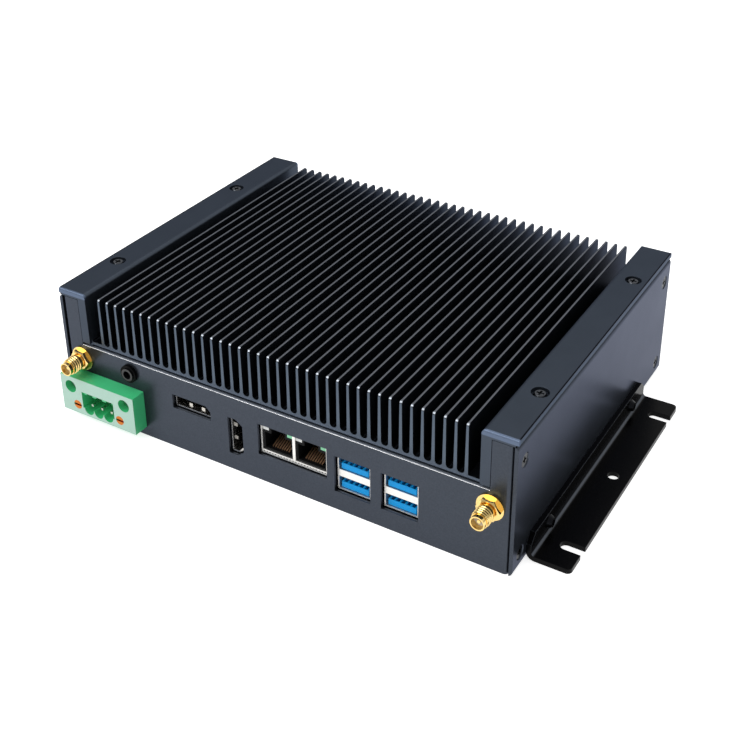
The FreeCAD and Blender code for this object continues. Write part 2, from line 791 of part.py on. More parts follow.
def make_front_panel():
    """The front panel, cut out for each port from that port's own sizes and a gap."""
    body = end_panel("front_panel", -1)
    ports = new_sketch(body, "XZ_Plane", "port_openings")
    gap = d.port_gap
    for x in stack_middles:
        rectangle(ports, centred(x, d.stack_width + 2 * gap), (stack_low - gap, stack_top + gap))
    rectangle(ports, centred(network_x, d.network_width + 2 * gap),
              (d.board_bottom - d.network_height - gap, d.board_bottom + gap))
    for label in ("wide_video", "upright_video"):
        outline(ports, video_corners(label, -gap))
    rectangle(ports, centred(terminal_x, terminal_body_width + 2 * gap),
              centred(d.terminal_z, d.terminal_body_height + 2 * gap))
    circle(ports, d.jack_barrel_diameter + gap, jack_x, d.jack_z)
    for side in (-1, 1):
        circle(ports, d.antenna_barrel_diameter + gap, side * antenna_x, d.antenna_z)
        circle(ports, d.screw_diameter, terminal_x + side * terminal_fixing_spacing / 2,
               d.terminal_z + d.terminal_fixing_lift)
    feature(body, "Pocket", ports, half_depth + d.sheet_thickness, reverse=True)
    keep(body)


def make_rear_panel():
    """The rear panel, plain."""
    keep(end_panel("rear_panel", 1))


def make_bracket(label, side):
    """A folded mounting bracket: upright on the case's side, foot outward with two slots and a hole."""
    body = doc.addObject("PartDesign::Body", label)
    inner = d.bracket_bend_radius
    outer = inner + d.bracket_thickness
    wall = side * half_width
    face = wall + side * d.bracket_thickness
    bend = wall + side * outer
    edge = wall + side * d.bracket_reach
    zero = 0 * outer
    section = new_sketch(body, "XZ_Plane", f"{label}_section")
    outline(section, [(wall, d.bracket_height), (wall, outer), (bend, zero), (edge, zero),
                      (edge, d.bracket_thickness), (bend, d.bracket_thickness), (face, outer),
                      (face, d.bracket_height)], {1: (bend, outer), 5: (bend, outer)})
    blank = feature(body, "Pad", section, d.bracket_length, symmetric=True)
    blank.SideType = "Two sides"
    bind(blank, Length=d.bracket_length / 2 - bracket_middle_y,
         Length2=d.bracket_length / 2 + bracket_middle_y)
    doc.recompute()

    corners = new_sketch(body, "YZ_Plane", f"{label}_corners")
    for end in (-1, 1):
        y = bracket_middle_y + end * d.bracket_length / 2
        outline(corners, [(y, d.bracket_height - d.bracket_chamfer),
                          (y - end * d.bracket_chamfer, d.bracket_height), (y, d.bracket_height)])
    feature(body, "Pocket", corners, 2 * d.body_width, symmetric=True)

    cuts = new_sketch(body, "XY_Plane", f"{label}_slots")
    axis = wall + side * d.bracket_hole_reach
    half_slot = d.bracket_hole_diameter / 2
    circle(cuts, d.bracket_hole_diameter, axis, bracket_middle_y)
    for end in (-1, 1):
        y = bracket_middle_y + end * d.bracket_slot_spacing / 2
        low, high = y - side * half_slot, y + side * half_slot
        outline(cuts, [(axis, low), (edge, low), (edge, high), (axis, high)], {3: (axis, y)})
    feature(body, "Pocket", cuts, 2 * d.bracket_thickness, reverse=True)

    holes = new_sketch(body, "YZ_Plane", f"{label}_screw_holes")
    for end in (-1, 1):
        circle(holes, d.screw_diameter, bracket_middle_y + end * d.bracket_screw_spacing / 2,
               d.bracket_screw_height)
    feature(body, "Pocket", holes, 2 * d.body_width, symmetric=True)

    reach = number_of(edge)
    thickness = number_of(d.bracket_thickness)

    def outer_corner(edge_line):
        """True for the upright edges at the foot's outer side."""
        low, high = edge_line.BoundBox.ZMin, edge_line.BoundBox.ZMax
        return abs(edge_line.CenterOfMass.x - reach) < 1e-4 and abs(high - low - thickness) < 1e-4

    ends = sorted((e.CenterOfMass.y for e in body.Tip.Shape.Edges if outer_corner(e)))
    rounded(body, d.bracket_corner_radius,
            lambda e: outer_corner(e) and e.CenterOfMass.y in (ends[0], ends[-1]))
    keep(body)


def cross_recess(label, point, axis):
    """Tool for a screw head's cross recess, sunk from a point on the head's top."""
    arms = []
    for first, second in ((d.cross_span, d.cross_width), (d.cross_width, d.cross_span)):
        sizes = {"x": (2 * d.cross_depth, first, second), "y": (first, 2 * d.cross_depth, second),
                 "z": (first, second, 2 * d.cross_depth)}[axis]
        arms.append(box(f"{label}_arm", *(centred(middle, size) for middle, size in zip(point, sizes))))
    return fuse(f"{label}_cross", *arms)


def make_screws():
    """The rail screws, the countersunk side screws, and the bracket screws with their press-in nuts."""
    rail = []
    seat = d.body_height - d.rail_screw_recess_depth
    for count, (x, y) in enumerate(rail_screw_spots):
        head_top = seat + d.rail_screw_head_height
        head = cone(f"rail_screw_{count}_head", d.rail_screw_head_diameter, d.rail_screw_head_diameter * 0.7,
                    d.rail_screw_head_height, (x, y, seat), "z")
        shank = rod(f"rail_screw_{count}_shank", d.screw_diameter, d.rail_screw_length, (x, y, seat), "-z")
        rail.append(cut(f"rail_screw_{count}", fuse(f"rail_screw_{count}_blank", head, shank),
                        cross_recess(f"rail_screw_{count}", (x, y, head_top), "z")))
    keep(group("heatsink_screws", rail))

    sides = []
    for count, (side, y, z) in enumerate(side_screw_spots):
        inward = "-x" if side > 0 else "x"
        start = (side * (half_width - d.side_screw_recess), y, z)
        head = cone(f"side_screw_{count}_head", d.side_screw_head_diameter, d.side_screw_diameter,
                    side_screw_sink, start, inward)
        shank = rod(f"side_screw_{count}_shank", d.side_screw_diameter, d.side_screw_length, start, inward)
        sides.append(cut(f"side_screw_{count}", fuse(f"side_screw_{count}_blank", head, shank),
                         cross_recess(f"side_screw_{count}", start, "x")))
    keep(group("side_screws", sides))

    bolts, nuts = [], []
    for count, (side, y) in enumerate(bracket_screw_spots):
        inward, outward = ("-x", "x") if side > 0 else ("x", "-x")
        seat = (side * half_width + side * d.bracket_thickness, y, d.bracket_screw_height)
        top = (seat[0] + side * d.bracket_screw_head_height, y, d.bracket_screw_height)
        nut_face = (side * sheet_in, y, d.bracket_screw_height)
        grip = d.bracket_thickness + d.sheet_thickness + d.bracket_nut_thickness
        head = cone(f"bracket_screw_{count}_head", d.bracket_screw_head_diameter,
                    d.bracket_screw_head_diameter * 0.7, d.bracket_screw_head_height, seat, outward)
        shank = rod(f"bracket_screw_{count}_shank", d.screw_diameter, grip, seat, inward)
        bolts.append(cut(f"bracket_screw_{count}", fuse(f"bracket_screw_{count}_blank", head, shank),
                         cross_recess(f"bracket_screw_{count}", top, "x")))
        tall = d.bracket_nut_thickness
        nut = rod(f"bracket_nut_{count}_blank", d.bracket_nut_diameter, tall, nut_face, inward)
        bore = rod(f"bracket_nut_{count}_bore", d.screw_diameter, tall, nut_face, inward)
        nuts.append(cut(f"bracket_nut_{count}", nut, bore))
    keep(group("bracket_screws", bolts))
    keep(group("bracket_nuts", nuts))


def make_mainboard():
    """The board with its fixing holes, its standoffs up to the heatsink base, and its screws."""
    right, rear = board_left + d.board_width, board_front + d.board_depth
    blank = box("board_blank", (board_left, right), (board_front, rear), (d.board_bottom, board_top))
    inset = d.board_hole_inset
    spots = [(x, y) for x in (board_left + inset, right - inset) for y in (board_front + inset, rear - inset)]
    holes, posts, screws = [], [], []
    height = d.base_bottom - board_top
    for count, (x, y) in enumerate(spots):
        holes.append(rod(f"board_hole_{count}", d.screw_diameter + d.fit_gap, d.board_thickness,
                         (x, y, d.board_bottom), "z"))
        post = hexagon(f"standoff_{count}_blank", d.standoff_across, height, (x, y, board_top), "z")
        posts.append(cut(f"standoff_{count}", post,
                         rod(f"standoff_{count}_bore", d.screw_diameter, height, (x, y, board_top), "z")))
        head = rod(f"board_screw_{count}_head", d.board_screw_head_diameter, d.board_screw_head_height,
                   (x, y, d.board_bottom), "-z")
        shank = rod(f"board_screw_{count}_shank", d.screw_diameter, d.board_screw_length,
                    (x, y, d.board_bottom), "z")
        screws.append(fuse(f"board_screw_{count}", head, shank))
    keep(cut("mainboard", blank, *holes))
    keep(group("board_standoffs", posts))
    keep(group("board_screws", screws))


def make_heat_path():
    """The processor with its raised die, the thermal pad on it, and the block up to the heatsink base."""
    x, y = d.board_middle_x, board_front + d.processor_from_front
    carrier_top = board_top + d.processor_step
    die_top = board_top + d.processor_height
    pad_top = die_top + d.pad_thickness
    die_width, die_depth = d.processor_width - 2 * d.die_inset, d.processor_depth - 2 * d.die_inset
    carrier = box("processor_carrier", centred(x, d.processor_width), centred(y, d.processor_depth),
                  (board_top, carrier_top))
    die = box("processor_die", centred(x, die_width), centred(y, die_depth), (carrier_top, die_top))
    keep(fuse("processor", carrier, die))
    keep(box("thermal_pad", centred(x, die_width), centred(y, die_depth), (die_top, pad_top)))
    keep(box("heat_spreader", centred(x, d.spreader_width), centred(y, d.spreader_depth),
             (pad_top, d.base_bottom)))


def make_card(name, x, front, length):
    """A plug-in card under the board with its socket, and its post and screw at the far end."""
    card_top = d.board_bottom - d.card_drop
    card_low = card_top - d.card_thickness
    card_front = front + d.card_socket_depth - d.card_slot_depth
    card_rear = card_front + length
    span = centred(x, d.card_width)
    sheet_card = box(f"{name}_card", span, (card_front, card_rear), (card_low, card_top))
    chips = box(f"{name}_chips", (span[0] + d.chip_margin, span[1] - d.chip_margin),
                (front + d.card_socket_depth + d.chip_margin, card_rear - 2 * d.chip_margin),
                (card_low - d.chip_height, card_low))
    screw_y = card_rear - d.chip_margin
    hole = rod(f"{name}_hole", d.card_screw_diameter, d.card_thickness, (x, screw_y, card_low), "z")
    module = keep(cut(f"{name}_module", fuse(f"{name}_module_blank", sheet_card, chips), hole))
    block = box(f"{name}_socket_block", (span[0] - 1, span[1] + 1), (front, front + d.card_socket_depth),
                (d.board_bottom - d.card_socket_height, d.board_bottom))
    slot = box(f"{name}_socket_slot", span, (card_front, front + d.card_socket_depth), (card_low, card_top))
    keep(cut(f"{name}_socket", block, slot))
    post = rod(f"{name}_post_blank", d.card_post_diameter, d.card_drop, (x, screw_y, card_top), "z")
    bore = rod(f"{name}_post_bore", d.card_screw_diameter, d.card_drop, (x, screw_y, card_top), "z")
    keep(cut(f"{name}_post", post, bore))
    head = rod(f"{name}_screw_head", d.card_screw_head_diameter, d.card_screw_head_height,
               (x, screw_y, card_low), "-z")
    shank = rod(f"{name}_screw_shank", d.card_screw_diameter, d.card_thickness + d.card_drop,
                (x, screw_y, card_low), "z")
    keep(fuse(f"{name}_screw", head, shank))
    return module


def make_memory():
    """The memory module lying flat under the board, held by its socket and two side arms."""
    card_top = d.board_bottom - d.card_drop - d.card_thickness
    card_low = card_top - d.card_thickness
    front = board_front + d.memory_from_front
    socket_rear = front + d.memory_socket_depth
    card_front = socket_rear - d.card_slot_depth
    span = centred(d.board_middle_x + d.memory_x, d.memory_module_width)
    card = box("memory_card", span, (card_front, card_front + d.memory_module_depth), (card_low, card_top))
    chips = box("memory_chips", (span[0] + d.chip_margin, span[1] - d.chip_margin),
                (socket_rear + d.chip_margin, card_front + d.memory_module_depth - d.chip_margin),
                (card_low - d.chip_height, card_low))
    keep(fuse("memory_module", card, chips))
    low = d.board_bottom - d.memory_socket_height
    arm_left, arm_right = span[0] - d.memory_arm_width, span[1] + d.memory_arm_width
    bar = box("memory_bar", (arm_left, arm_right), (front, socket_rear), (low, d.board_bottom))
    arm_rear = socket_rear + d.memory_arm_length
    arms = [box("memory_left_arm", (arm_left, span[0]), (socket_rear, arm_rear), (low, d.board_bottom)),
            box("memory_right_arm", (span[1], arm_right), (socket_rear, arm_rear), (low, d.board_bottom))]
    slot = box("memory_slot", span, (card_front, socket_rear), (card_low, card_top))
    keep(cut("memory_socket", fuse("memory_socket_blank", bar, *arms), slot))


def make_coin_cell():
    """The coin cell pressed into a round holder under the board."""
    floor = d.board_bottom - d.holder_floor
    x, y = d.board_middle_x + d.cell_x, board_front + d.cell_from_front
    spot = (x, y, floor)
    cup = rod("holder_cup", d.cell_diameter + 2 * d.holder_wall, d.cell_thickness + d.holder_floor,
              (x, y, d.board_bottom), "-z")
    keep(cut("coin_cell_holder", cup, rod("holder_room", d.cell_diameter, d.cell_thickness, spot, "-z")))
    keep(rod("coin_cell", d.cell_diameter, d.cell_thickness, spot, "-z"))


def make_data_ports():
    """Two stacks of two data ports: shells, tongues with their back walls, and contact strips."""
    shells, tongues, contacts = [], [], []
    rear = port_face + d.stack_depth
    back_wall = rear - d.port_back_wall
    wall = d.port_wall
    for stack, x in enumerate(stack_middles):
        outside, inside = centred(x, d.stack_width), centred(x, d.stack_width - 2 * wall)
        skin = box(f"stack_{stack}_skin", outside, (port_face, rear), (stack_low, stack_top))
        foot = box(f"stack_{stack}_foot", inside, (panel_back + wall, rear), (stack_top, d.board_bottom))
        mouths = []
        for level in range(2):
            floor = stack_low + wall + level * (d.stack_mouth_height + d.stack_band)
            tall = (floor, floor + d.stack_mouth_height)
            name = f"stack_{stack}_{level}"
            mouths.append(box(f"{name}_mouth", inside, (port_face, rear), tall))
            back = box(f"{name}_back", inside, (back_wall, rear), tall)
            tongue_low = floor + d.stack_tongue_lift
            tongue_top = tongue_low + d.stack_tongue_thickness
            tongue_front = port_face + d.stack_tongue_setback
            blade = box(f"{name}_blade", centred(x, d.stack_tongue_width), (tongue_front, back_wall),
                        (tongue_low, tongue_top))
            slots = []
            slot_floor = tongue_top - d.stack_slot_depth
            for count in range(int(number_of(d.stack_contact_count))):
                middle = x + (count - (d.stack_contact_count - 1) / 2) * d.stack_contact_pitch
                slot_front = tongue_front + wall / 2
                slots.append(box(f"{name}_slot_{count}", centred(middle, d.stack_slot_width),
                                 (slot_front, slot_front + d.stack_slot_length), (slot_floor, tongue_top)))
                contacts.append(box(f"{name}_contact_{count}", centred(middle, d.stack_contact_width),
                                    (slot_front + wall, slot_front + wall + d.stack_contact_length),
                                    (slot_floor, slot_floor + d.stack_contact_height)))
            tongues.append(cut(f"{name}_tongue", fuse(f"{name}_tongue_blank", back, blade), *slots))
        hollow_low = stack_low + 2 * wall + d.stack_mouth_height
        mouths.append(box(f"stack_{stack}_hollow", inside, (port_face + wall, rear),
                          (hollow_low, hollow_low + d.stack_band - 2 * wall)))
        shells.append(cut(f"stack_{stack}_shell", fuse(f"stack_{stack}_block", skin, foot), *mouths))
    keep(group("data_port_shells", shells))
    keep(group("data_port_tongues", tongues))
    keep(group("data_port_contacts", contacts))


def make_network_jack():
    """The twin network jack: a two-celled shield, a housing in each cell, contacts and lights."""
    rear = port_face + d.network_depth
    low = d.board_bottom - d.network_height
    wall = d.port_wall
    cell_width = (d.network_width - 2 * wall - d.network_divider) / 2
    cell_low, cell_high = low + wall + d.network_sill, d.board_bottom - wall
    shield = box("network_block", centred(network_x, d.network_width), (port_face, rear),
                 (low, d.board_bottom))
    cells, housings, contacts, green, clear = [], [], [], [], []
    front = port_face + d.network_setback
    for side in (-1, 1):
        name = "left_jack" if side < 0 else "right_jack"
        x = network_x + side * (cell_width + d.network_divider) / 2
        span = centred(x, cell_width)
        cells.append(box(f"{name}_cell", span, (port_face, rear - wall), (cell_low, cell_high)))
        block = box(f"{name}_block", span, (front, rear - wall), (cell_low, cell_high))
        floor = cell_low + d.plug_floor
        roof = floor + d.plug_height
        room_rear = front + d.plug_depth
        plug = box(f"{name}_plug_room", centred(x, d.plug_width), (front, room_rear), (floor, roof))
        latch = box(f"{name}_latch_room", centred(x, d.latch_width), (front, room_rear),
                    (roof, roof + d.latch_height))
        rooms = [plug, latch]
        for edge, lights in ((-1, clear), (1, green)):
            outer = x + edge * cell_width / 2
            inner = outer - edge * d.light_width
            spans = ((outer, inner) if edge < 0 else (inner, outer), (front, front + d.light_depth),
                     (cell_high - d.light_height, cell_high))
            rooms.append(box(f"{name}_light_room_{edge + 1}", *spans))
            lights.append(box(f"{name}_light_{edge + 1}", *spans))
        housings.append(cut(f"{name}_housing", block, *rooms))
        for count in range(int(number_of(d.network_contact_count))):
            middle = x + (count - (d.network_contact_count - 1) / 2) * d.network_contact_pitch
            wire = doc.addObject("Part::Wedge", f"{name}_contact_{count}")
            bind(wire, Xmin=0, Xmax=d.network_contact_width, X2min=0, X2max=d.network_contact_width, Ymin=0,
                 Ymax=d.network_contact_run, Zmin=0, Zmax=d.network_contact_thickness,
                 Z2min=d.network_contact_rise, Z2max=d.network_contact_rise + d.network_contact_thickness)
            place(wire, (middle - d.network_contact_width / 2, front + d.network_contact_setback, floor))
            contacts.append(wire)
    # a row of slits parts the sill under the cells from the rim below it
    for count in range(int(number_of(d.network_slit_count))):
        middle = network_x + (count - (d.network_slit_count - 1) / 2) * d.network_slit_pitch
        cells.append(box(f"network_slit_{count}", centred(middle, d.network_slit_width),
                         (port_face, port_face + d.network_slit_depth),
                         (low + wall, low + wall + d.network_slit_height)))
    keep(cut("network_shield", shield, *cells))
    keep(group("network_housings", housings))
    keep(group("network_contacts", contacts))
    keep(group("network_green_lights", green))
    keep(group("network_clear_lights", clear))


def make_video_port(label, upright):
    """A video port: a drawn shell of the port's outline, and an insulator with its tongue inside."""
    shell = doc.addObject("PartDesign::Body", f"{label}_shell")
    rear = port_face + d.video_depth
    skin = new_sketch(shell, "XZ_Plane", f"{label}_skin", -port_face)
    outline(skin, video_corners(label, 0))
    feature(shell, "Pad", skin, d.video_depth, reverse=True)
    room = new_sketch(shell, "XZ_Plane", f"{label}_room", -port_face)
    outline(room, video_corners(label, d.port_wall))
    feature(shell, "Pocket", room, d.video_depth)
    # two spring fingers on the wall below the tongue, or beside it on the upright port
    fingers = new_sketch(shell, "XZ_Plane", f"{label}_fingers", -port_face - d.video_spring_setback)
    corner_x, corner_z = video_corners(label, 0)[0]
    reach = d.port_wall + d.video_spring_height
    for side in (-1, 1):
        if upright:
            middle = corner_z + d.upright_video_height / 2 + side * d.video_spring_spread
            rectangle(fingers, (corner_x, corner_x + reach), centred(middle, d.video_spring_width))
        else:
            middle = wide_video_x + side * d.video_spring_spread
            rectangle(fingers, centred(middle, d.video_spring_width), (corner_z, corner_z + reach))
    feature(shell, "Pad", fingers, d.video_spring_length, reverse=True)
    keep(shell)

    core = doc.addObject("PartDesign::Body", f"{label}_tongue")
    back = new_sketch(core, "XZ_Plane", f"{label}_back", -rear)
    outline(back, video_corners(label, d.port_wall))
    feature(core, "Pad", back, d.port_back_wall)
    blade = new_sketch(core, "XZ_Plane", f"{label}_blade", -rear)
    half = d.video_tongue_thickness / 2
    margin = d.port_wall + d.video_tongue_margin
    if upright:
        high = d.board_bottom - d.upright_video_drop
        rectangle(blade, (upright_video_x - half, upright_video_x + half),
                  (high - d.upright_video_height + margin, high - margin))
    else:
        middle = d.board_bottom - d.wide_video_drop - d.wide_video_height / 2
        rectangle(blade, centred(wide_video_x, d.wide_video_width - 2 * margin),
                  (middle - half, middle + half))
    feature(core, "Pad", blade, d.video_depth - d.video_tongue_setback)
    foot = new_sketch(core, "XZ_Plane", f"{label}_foot", -rear)
    drop = d.upright_video_drop if upright else d.wide_video_drop
    width = d.upright_video_shoulder if upright else d.wide_video_width - d.wide_video_chamfer
    left = video_corners(label, 0)[0][0]
    rectangle(foot, (left, left + width), (d.board_bottom - drop, d.board_bottom))
    feature(core, "Pad", foot, d.video_depth - d.port_proud - 2 * d.sheet_thickness)
    link = new_sketch(core, "XZ_Plane", f"{label}_link", -rear)
    rectangle(link, (left + d.port_wall, left + width - d.port_wall),
              (d.board_bottom - drop - 2 * d.port_wall, d.board_bottom))
    feature(core, "Pad", link, d.port_back_wall, reverse=True)
    keep(core)


def make_round_jack():
    """The round jack fixed in the panel: barrel, body behind, bore, and its ring nut in front."""
    front = panel_face - d.jack_proud
    axis = (jack_x, d.jack_z)
    barrel = rod("jack_barrel", d.jack_barrel_diameter, d.jack_proud + d.sheet_thickness,
                 (axis[0], front, axis[1]), "y")
    back = rod("jack_back", d.jack_body_diameter, d.jack_body_length, (axis[0], panel_back, axis[1]), "y")
    bore = rod("jack_bore", d.jack_bore_diameter, d.jack_bore_depth, (axis[0], front, axis[1]), "y")
    keep(cut("round_jack", fuse("jack_blank", barrel, back), bore))
    nut_front = (axis[0], panel_face - d.jack_nut_thickness, axis[1])
    ring = rod("jack_ring", d.jack_nut_diameter, d.jack_nut_thickness, nut_front, "y")
    hole = rod("jack_ring_hole", d.jack_barrel_diameter, d.jack_nut_thickness, nut_front, "y")
    keep(cut("round_jack_nut", ring, hole))


def make_antennas():
    """The two antenna connectors: turned bodies, insulators, pins, and their nuts and washers."""
    bodies, cores, pins, nuts, washers = [], [], [], [], []
    for side in (-1, 1):
        name = "left_antenna" if side < 0 else "right_antenna"
        x, z = side * antenna_x, d.antenna_z
        front = panel_face - d.antenna_proud
        collar = rod(f"{name}_collar", d.antenna_collar_diameter, d.antenna_collar_length, (x, front, z), "y")
        thread_front = front + d.antenna_collar_length
        rear_length = d.sheet_thickness + d.antenna_rear_length
        nut_front = panel_face - d.antenna_washer_thickness - d.antenna_nut_thickness
        thread_rear = nut_front - d.antenna_neck_length
        barrel = rod(f"{name}_barrel", d.antenna_barrel_diameter, thread_rear - thread_front,
                     (x, thread_front, z), "y")
        relief = rod(f"{name}_relief", d.antenna_neck_diameter, d.antenna_neck_length,
                     (x, thread_rear, z), "y")
        tail = rod(f"{name}_tail", d.antenna_barrel_diameter, panel_face + rear_length - nut_front,
                   (x, nut_front, z), "y")
        shoulder = hexagon(f"{name}_shoulder", d.antenna_across, d.antenna_shoulder_thickness,
                           (x, panel_back, z), "y")
        bore = rod(f"{name}_bore", d.antenna_bore_diameter, d.antenna_bore_depth, (x, front, z), "y")
        pin_length = d.antenna_proud + rear_length - d.antenna_insulator_setback
        pin_front = (x, front + d.antenna_insulator_setback, z)
        pin_hole = rod(f"{name}_pin_hole", d.antenna_pin_diameter, pin_length, pin_front, "y")
        bodies.append(cut(f"{name}_body", fuse(f"{name}_blank", collar, barrel, relief, tail, shoulder),
                          bore, pin_hole))
        core = rod(f"{name}_core", d.antenna_bore_diameter,
                   d.antenna_bore_depth - d.antenna_insulator_setback, pin_front, "y")
        core_hole = rod(f"{name}_core_hole", d.antenna_pin_diameter, pin_length, pin_front, "y")
        cores.append(cut(f"{name}_insulator", core, core_hole))
        pin_start = (x, front + d.antenna_insulator_setback / 2, z)
        pins.append(rod(f"{name}_pin", d.antenna_pin_diameter, pin_length + d.antenna_insulator_setback / 2,
                        pin_start, "y"))
        washer_front = (x, panel_face - d.antenna_washer_thickness, z)
        disc = rod(f"{name}_disc", d.antenna_washer_diameter, d.antenna_washer_thickness, washer_front, "y")
        washers.append(cut(f"{name}_washer", disc, rod(f"{name}_washer_hole", d.antenna_barrel_diameter,
                                                       d.antenna_washer_thickness, washer_front, "y")))
        nut_start = (x, nut_front, z)
        nut = hexagon(f"{name}_nut_blank", d.antenna_across, d.antenna_nut_thickness, nut_start, "y")
        chamfer = d.antenna_nut_chamfer
        ring = rod(f"{name}_nut_ring", 2 * d.antenna_across, chamfer, nut_start, "y")
        crown = cone(f"{name}_nut_crown", d.antenna_nut_face,
                     d.antenna_nut_face + 2 * math.sqrt(3) * chamfer, chamfer, nut_start, "y")
        nut_hole = rod(f"{name}_nut_hole", d.antenna_barrel_diameter, d.antenna_nut_thickness, nut_start, "y")
        nuts.append(cut(f"{name}_nut", nut, cut(f"{name}_nut_bevel", ring, crown), nut_hole))
    keep(group("antenna_connectors", bodies))
    keep(group("antenna_insulators", cores))
    keep(group("antenna_pins", pins))
    keep(group("antenna_nuts", nuts))
    keep(group("antenna_washers", washers))


def pole_places():
    """The x of each terminal pole, from the left."""
    first = terminal_x - (d.terminal_pole_count - 1) / 2 * d.terminal_pitch
    return [first + count * d.terminal_pitch for count in range(int(number_of(d.terminal_pole_count)))]


def make_terminal_header():
    """The plug-in terminal header: flanged housing through the panel, pins, inserts and fixing screws."""
    face = panel_face - d.terminal_proud
    body_rear = panel_back + d.terminal_body_depth
    x, z = terminal_x, d.terminal_z
    flange = box("terminal_flange", centred(x, terminal_fixing_spacing + d.terminal_flange_margin),
                 (face, panel_face), centred(z, d.terminal_height))
    through = box("terminal_through", centred(x, terminal_body_width), (panel_face, body_rear),
                  centred(z, d.terminal_body_height))
    mouth_rear = face + d.terminal_mouth_depth
    tools = [box("terminal_mouth", centred(x, terminal_mouth_width), (face, mouth_rear),
                 (z - d.terminal_mouth_low, z + d.terminal_mouth_top))]
    pin_z = z - d.terminal_pin_drop
    pins = []
    for count, pole in enumerate(pole_places()):
        tools.append(rod(f"terminal_scallop_{count}", d.terminal_scallop_diameter, d.terminal_mouth_depth,
                         (pole, face, z - d.terminal_mouth_low), "y"))
        wide, tall = centred(pole, d.terminal_pin_side), centred(pin_z, d.terminal_pin_side)
        tools.append(box(f"terminal_pin_hole_{count}", wide, (mouth_rear, body_rear), tall))
        pins.append(box(f"terminal_pin_{count}", wide,
                        (face + d.terminal_pin_setback, body_rear + d.terminal_tail_length), tall))
    inserts, screws = [], []
    seat = panel_face - d.terminal_fixing_seat
    for side in (-1, 1):
        name = "left_terminal" if side < 0 else "right_terminal"
        hole_x, hole_z = x + side * terminal_fixing_spacing / 2, z + d.terminal_fixing_lift
        recess = rod(f"{name}_recess", d.terminal_fixing_recess_diameter,
                     d.terminal_proud - d.terminal_fixing_seat, (hole_x, face, hole_z), "y")
        shaft = rod(f"{name}_shaft", d.screw_diameter, d.terminal_proud, (hole_x, face, hole_z), "y")
        insert_x, insert_z = x + side * terminal_insert_spacing / 2, z - d.terminal_insert_drop
        pocket = rod(f"{name}_insert_room", d.terminal_insert_diameter, d.terminal_insert_length,
                     (insert_x, face, insert_z), "y")
        tools += [recess, shaft, pocket]
        plug = rod(f"{name}_insert_blank", d.terminal_insert_diameter, d.terminal_insert_length,
                   (insert_x, face, insert_z), "y")
        slot = box(f"{name}_insert_slot", centred(insert_x, d.terminal_insert_diameter),
                   (face, face + d.terminal_insert_slot_depth), centred(insert_z, d.terminal_insert_slot))
        inserts.append(cut(f"{name}_insert", plug, slot))
        head_front = seat - d.terminal_fixing_head_height
        head = rod(f"{name}_screw_head", d.terminal_fixing_head_diameter, d.terminal_fixing_head_height,
                   (hole_x, head_front, hole_z), "y")
        grip = d.terminal_fixing_seat + 2 * d.sheet_thickness
        shank = rod(f"{name}_screw_shank", d.screw_diameter, grip, (hole_x, seat, hole_z), "y")
        screws.append(cut(f"{name}_screw", fuse(f"{name}_screw_blank", head, shank),
                          cross_recess(f"{name}_screw", (hole_x, head_front, hole_z), "y")))
    hollow = cut("terminal_hollow", fuse("terminal_blank", flange, through), *tools)
    roof = z + d.terminal_mouth_top
    ribs = []
    for count in range(int(number_of(d.terminal_pole_count)) + 1):
        middle = x + (count - d.terminal_pole_count / 2) * d.terminal_pitch
        ribs.append(box(f"terminal_rib_{count}", centred(middle, d.terminal_rib_width),
                        (face + d.terminal_rib_setback, mouth_rear), (roof - d.terminal_rib_height, roof)))
    keep(fuse("terminal_header", hollow, *ribs))
    keep(group("terminal_pins", pins))
    keep(group("terminal_inserts", inserts))
    keep(group("terminal_screws", screws))


def lead(label, diameter, route):
    """A lead along straight runs joined by tangent arcs, each as large as its two runs allow."""
    radius = number_of(diameter) / 2
    points = [FreeCAD.Vector(*(number_of(size) for size in point)) for point in route]
    pieces, start = [], points[0]
    for before, corner, after in zip(points, points[1:], points[2:]):
        back, ahead = before - corner, after - corner
        half_turn = (math.pi - back.getAngle(ahead)) / 2
        reach = 0.45 * min(back.Length, ahead.Length)
        enter, leave = corner + back.normalize() * reach, corner + ahead.normalize() * reach
        bend = reach / math.tan(half_turn)
        middle = corner + (back + ahead).normalize() * (bend / math.cos(half_turn) - bend)
        pieces += [Part.LineSegment(start, enter).toShape(), Part.Arc(enter, middle, leave).toShape()]
        start = leave
    pieces.append(Part.LineSegment(start, points[-1]).toShape())
    path = Part.Wire(pieces)
    ring = Part.Wire(Part.makeCircle(radius, points[0], points[1] - points[0]))
    tube = path.makePipe(Part.Face(ring))
    if abs(tube.Volume / (math.pi * radius ** 2 * path.Length) - 1) > 1e-3:
        raise RuntimeError(f"{label} isn't a clean tube")
    thing = doc.addObject("Part::Feature", label)
    thing.Shape = tube
    return thing


